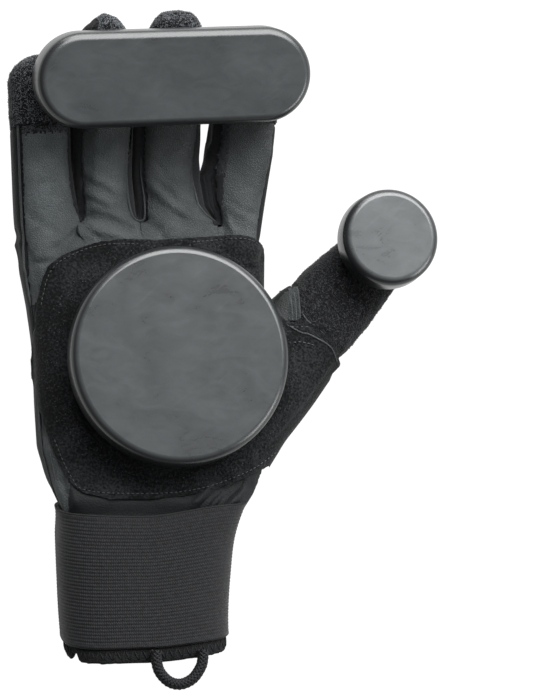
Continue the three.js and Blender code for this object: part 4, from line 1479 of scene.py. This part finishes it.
# Hem: a folded knit binding that finishes the wrist edge below the band, zigzag stitched all round.
# At the little finger's side it is slit, and one end of the slit hangs as a small pointed tail.
HEM_STITCHES, HEM_PUFF, HEM_SLIT_X = 104, 0.7, -37.5
wrist_hem = soft_copy("wrist_hem", "knit_wrist_hem", 0.5)
skin, outside = settle(get_points(wrist_hem), palm_distance, -2.6, 0.0)
puff = HEM_PUFF * ease((-skin[:, 1] - 110.5) / 3)
skin = skin + get_normals(wrist_hem) * np.where(outside, puff, 0)[:, None]
set_points(wrist_hem, cuff_slant(relax(wrist_hem, skin, 6)))
hem_knit, tree = new_material("black_rib_knit")
# Cotton rib: rows of small loops about 0.9 mm apart, matt and slightly fluffy.
spot = add(tree, "TexCoord").outputs["Object"]
loops = add(tree, "TexVoronoi", {"Vector": spot, "Scale": 1100, "Randomness": 0.6})
fluff = add(tree, "TexNoise", {"Vector": spot, "Scale": 1500, "Detail": 3})
tone = add(
    tree, "Mix", {0: fluff.outputs["Fac"], 6: linear("#040405"), 7: linear("#131415")}, data_type="RGBA"
)
bump = add(tree, "Bump", {"Height": loops.outputs["Distance"], "Strength": 0.7, "Distance": 0.0005})
shader = add(
    tree,
    "BsdfPrincipled",
    {
        "Base Color": tone.outputs[2],
        "Roughness": 0.9,
        "Normal": bump.outputs[0],
        "Specular IOR Level": 0.2,
    },
)
add(tree, "OutputMaterial", {"Surface": shader.outputs[0]})
fit(wrist_hem, hem_knit, "hem_knit", "wrist_hem")

high = wrist_ring(-109.6, 0.0, BAND_RAKE, HEM_STITCHES)
low = wrist_ring(-113.6, 0.0, BAND_RAKE, HEM_STITCHES)
middle_of_wrist = np.array([-9.0, -111.0, 19.6])
starts, ends, over = [], [], []
for k in range(HEM_STITCHES):
    a, b = (high[k], low[k + 1]) if k % 2 == 0 else (low[k], high[k + 1])
    if abs((a[0] + b[0]) / 2 - HEM_SLIT_X) < 1.6 and a[2] > RAKE_LEVEL:
        continue
    out = (a + b) / 2 - middle_of_wrist
    out[1] = 0
    starts.append(a)
    ends.append(b)
    over.append(out / np.linalg.norm(out))
lift = HEM_PUFF * np.array(over)
points, faces = stitches(cuff_slant(np.array(starts)) + lift, cuff_slant(np.array(ends)) + lift, over, 0.6)
hem_thread = mesh_piece("hem_zigzag", points, faces)
fit(hem_thread, braid, "hem_knit")

# Hook pads: stiff black hook tape glued under each puck, a little smaller than it. The pad under the finger
# puck was stuck on low, so an edge of it peeps out.
hook_tape, tree = new_material("moulded_hook_tape")
# Moulded nylon hooks about 1 mm apart: dark, with a dull plastic glint.
spot = add(tree, "TexCoord").outputs["Object"]
hooks = add(tree, "TexVoronoi", {"Vector": spot, "Scale": 1000, "Randomness": 0.3})
bump = add(tree, "Bump", {"Height": hooks.outputs["Distance"], "Strength": 0.8, "Distance": 0.0006})
tone = add(
    tree,
    "Mix",
    {
        0: hooks.outputs["Distance"],
        6: linear("#0d0d0e"),
        7: linear("#050505"),
    },
    data_type="RGBA",
)
shader = add(
    tree,
    "BsdfPrincipled",
    {
        "Base Color": tone.outputs[2],
        "Roughness": 0.6,
        "Normal": bump.outputs[0],
        "IOR": 1.53,
    },
)
add(tree, "OutputMaterial", {"Surface": shader.outputs[0]})
for name in ("palm", "thumb", "finger"):
    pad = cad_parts[f"{name}_hook"]
    pad.data.materials.clear()
    pad.data.materials.append(hook_tape)

# Pucks: hard plastic sliders, moulded with a slight draft and a rounded sliding edge: a disc on the palm,
# a smaller one on the thumb and a bar with round ends across the fingers. The road has scuffed their faces.
PUCK_HEIGHT, PUCK_EDGE, PUCK_DRAFT, PUCK_WEAR = 14.0, 3.0, 0.6, 0.9
HOOK_STACK = 2.6  # a hook pad and the gaps above and below it
SCUFF_LOW, SCUFF_HIGH = 0.18, 0.74  # what the layers of wear add up to


def scuffed_plastic(name, low, high):
    """Cast polyurethane: grey, clouded and grained where it has slid; near black and satin where it is new,
    and that black on the rounded edge is also painted shade.
    """
    made, tree = new_material(name)
    spot = add(tree, "TexCoord").outputs["Object"]
    cloud = add(tree, "TexNoise", {"Vector": spot, "Scale": 40, "Detail": 5, "Distortion": 0.5})
    turned = add(tree, "Mapping", {"Vector": spot, "Rotation": (0, 0, 0.3), "Scale": (1.0, 2.0, 1.0)})
    smear = add(
        tree,
        "TexNoise",
        {
            "Vector": turned.outputs[0],
            "Scale": 95,
            "Detail": 4,
            "Roughness": 0.55,
            "Distortion": 1.3,
        },
    )
    grain = add(tree, "TexNoise", {"Vector": spot, "Scale": 1600, "Detail": 2, "Roughness": 0.7})
    drawn = add(
        tree,
        "Mapping",
        {
            "Vector": spot,
            "Rotation": (0, 0, 0.75),
            "Scale": (14.0, 1.0, 1.0),
        },
        vector_type="TEXTURE",
    )
    streak = add(tree, "TexNoise", {"Vector": drawn.outputs[0], "Scale": 620, "Detail": 1})
    scratch = add(tree, "MapRange", {0: streak.outputs["Fac"], 1: 0.66, 2: 0.78, 3: 0.0, 4: 0.08})
    total = scratch.outputs[0]
    for layer, share in ((cloud, 0.45), (smear, 0.35), (grain, 0.12)):
        added = add(tree, "Math", {0: layer.outputs["Fac"], 1: share, 2: total}, operation="MULTIPLY_ADD")
        total = added.outputs[0]
    lit = add(tree, "MapRange", {0: total, 1: SCUFF_LOW, 2: SCUFF_HIGH, 3: 0.0, 4: 1.0})
    tone = add(tree, "Mix", {0: lit.outputs[0], 6: linear(low), 7: linear(high)}, data_type="RGBA")
    rough = add(tree, "MapRange", {0: total, 1: SCUFF_LOW, 2: SCUFF_HIGH, 3: 0.24, 4: 0.34})
    # Painted shade: below the worn face the rounded edge and the side take a near-black colour, which also
    # stands in for the dark shade along the rounded edge.
    face_only = add(tree, "Attribute", attribute_name="scuffed_face_shaded_rim")
    varied_tone = add(
        tree,
        "Mix",
        {
            0: face_only.outputs["Fac"],
            6: linear("#1b1d1e"),
            7: tone.outputs[2],
        },
        data_type="RGBA",
    )
    shader = add(
        tree,
        "BsdfPrincipled",
        {
            "Base Color": varied_tone.outputs[2],
            "Roughness": rough.outputs[0],
            "Specular IOR Level": 0.5,
        },
    )
    add(tree, "OutputMaterial", {"Surface": shader.outputs[0]})
    return made


puck_plastic = scuffed_plastic("scuffed_charcoal_plastic", "#202223", "#3e4142")
thumb_plastic = scuffed_plastic("paler_scuffed_plastic", "#363839", "#575a5b")

seat_normal = Vector((PUCK_FALL, -PUCK_RISE, 1)).normalized()
tilt = Vector((0, 0, 1)).rotation_difference(seat_normal).to_matrix()
finger_turn = tilt @ Matrix.Rotation(math.radians(4.8), 3, "Z")
seat_x, seat_y, seat_z = FINGER_SEAT
finger_at = Vector((seat_x, seat_y, seat_z + LOOP_THICK / seat_normal.z)) + seat_normal * HOOK_STACK
for name, radius, straight, at, turn in (
    ("palm", 43.6, 0.0, (0, 0, 36.3), Matrix.Identity(3)),
    ("thumb", 20.0, 0.0, (85.6, 50.1, 32.0), Matrix.Identity(3)),
    ("finger", 19.2, 73.2, finger_at, finger_turn),
):
    bpy.ops.object.select_all(action="DESELECT")
    bpy.ops.mesh.primitive_cylinder_add(vertices=144, radius=radius, depth=PUCK_HEIGHT, end_fill_type="NGON")
    puck = bpy.context.object
    puck.name = f"{name}_slide_puck"
    for v in puck.data.vertices:
        v.co.z += PUCK_HEIGHT / 2
        if v.co.z > 1:
            v.co.x *= (radius - PUCK_DRAFT) / radius
            v.co.y *= (radius - PUCK_DRAFT) / radius
        if straight and abs(v.co.x) > 1e-4:
            v.co.x += math.copysign(straight / 2, v.co.x)
    rim = puck.modifiers.new("rounded_rim", "BEVEL")
    rim.width = PUCK_EDGE
    rim.segments = 10
    rim.profile = 0.42
    rim.limit_method = "ANGLE"
    rim.angle_limit = math.radians(60)
    bpy.ops.object.modifier_apply(modifier=rim.name)
    face = max(puck.data.polygons, key=lambda p: p.center.z).index
    depth_down = np.array([PUCK_HEIGHT - v.co.z for v in puck.data.vertices])
    set_points(puck, np.array([turn @ v.co + Vector(at) for v in puck.data.vertices]))
    bpy.ops.object.shade_smooth_by_angle(angle=math.radians(35))
    puck.data.polygons[face].use_smooth = False
    mark(puck, "scuffed_face_shaded_rim", 1 - ease(depth_down / PUCK_WEAR))
    fit(puck, thumb_plastic if name == "thumb" else puck_plastic, "puck_plastic", f"{name}_puck")
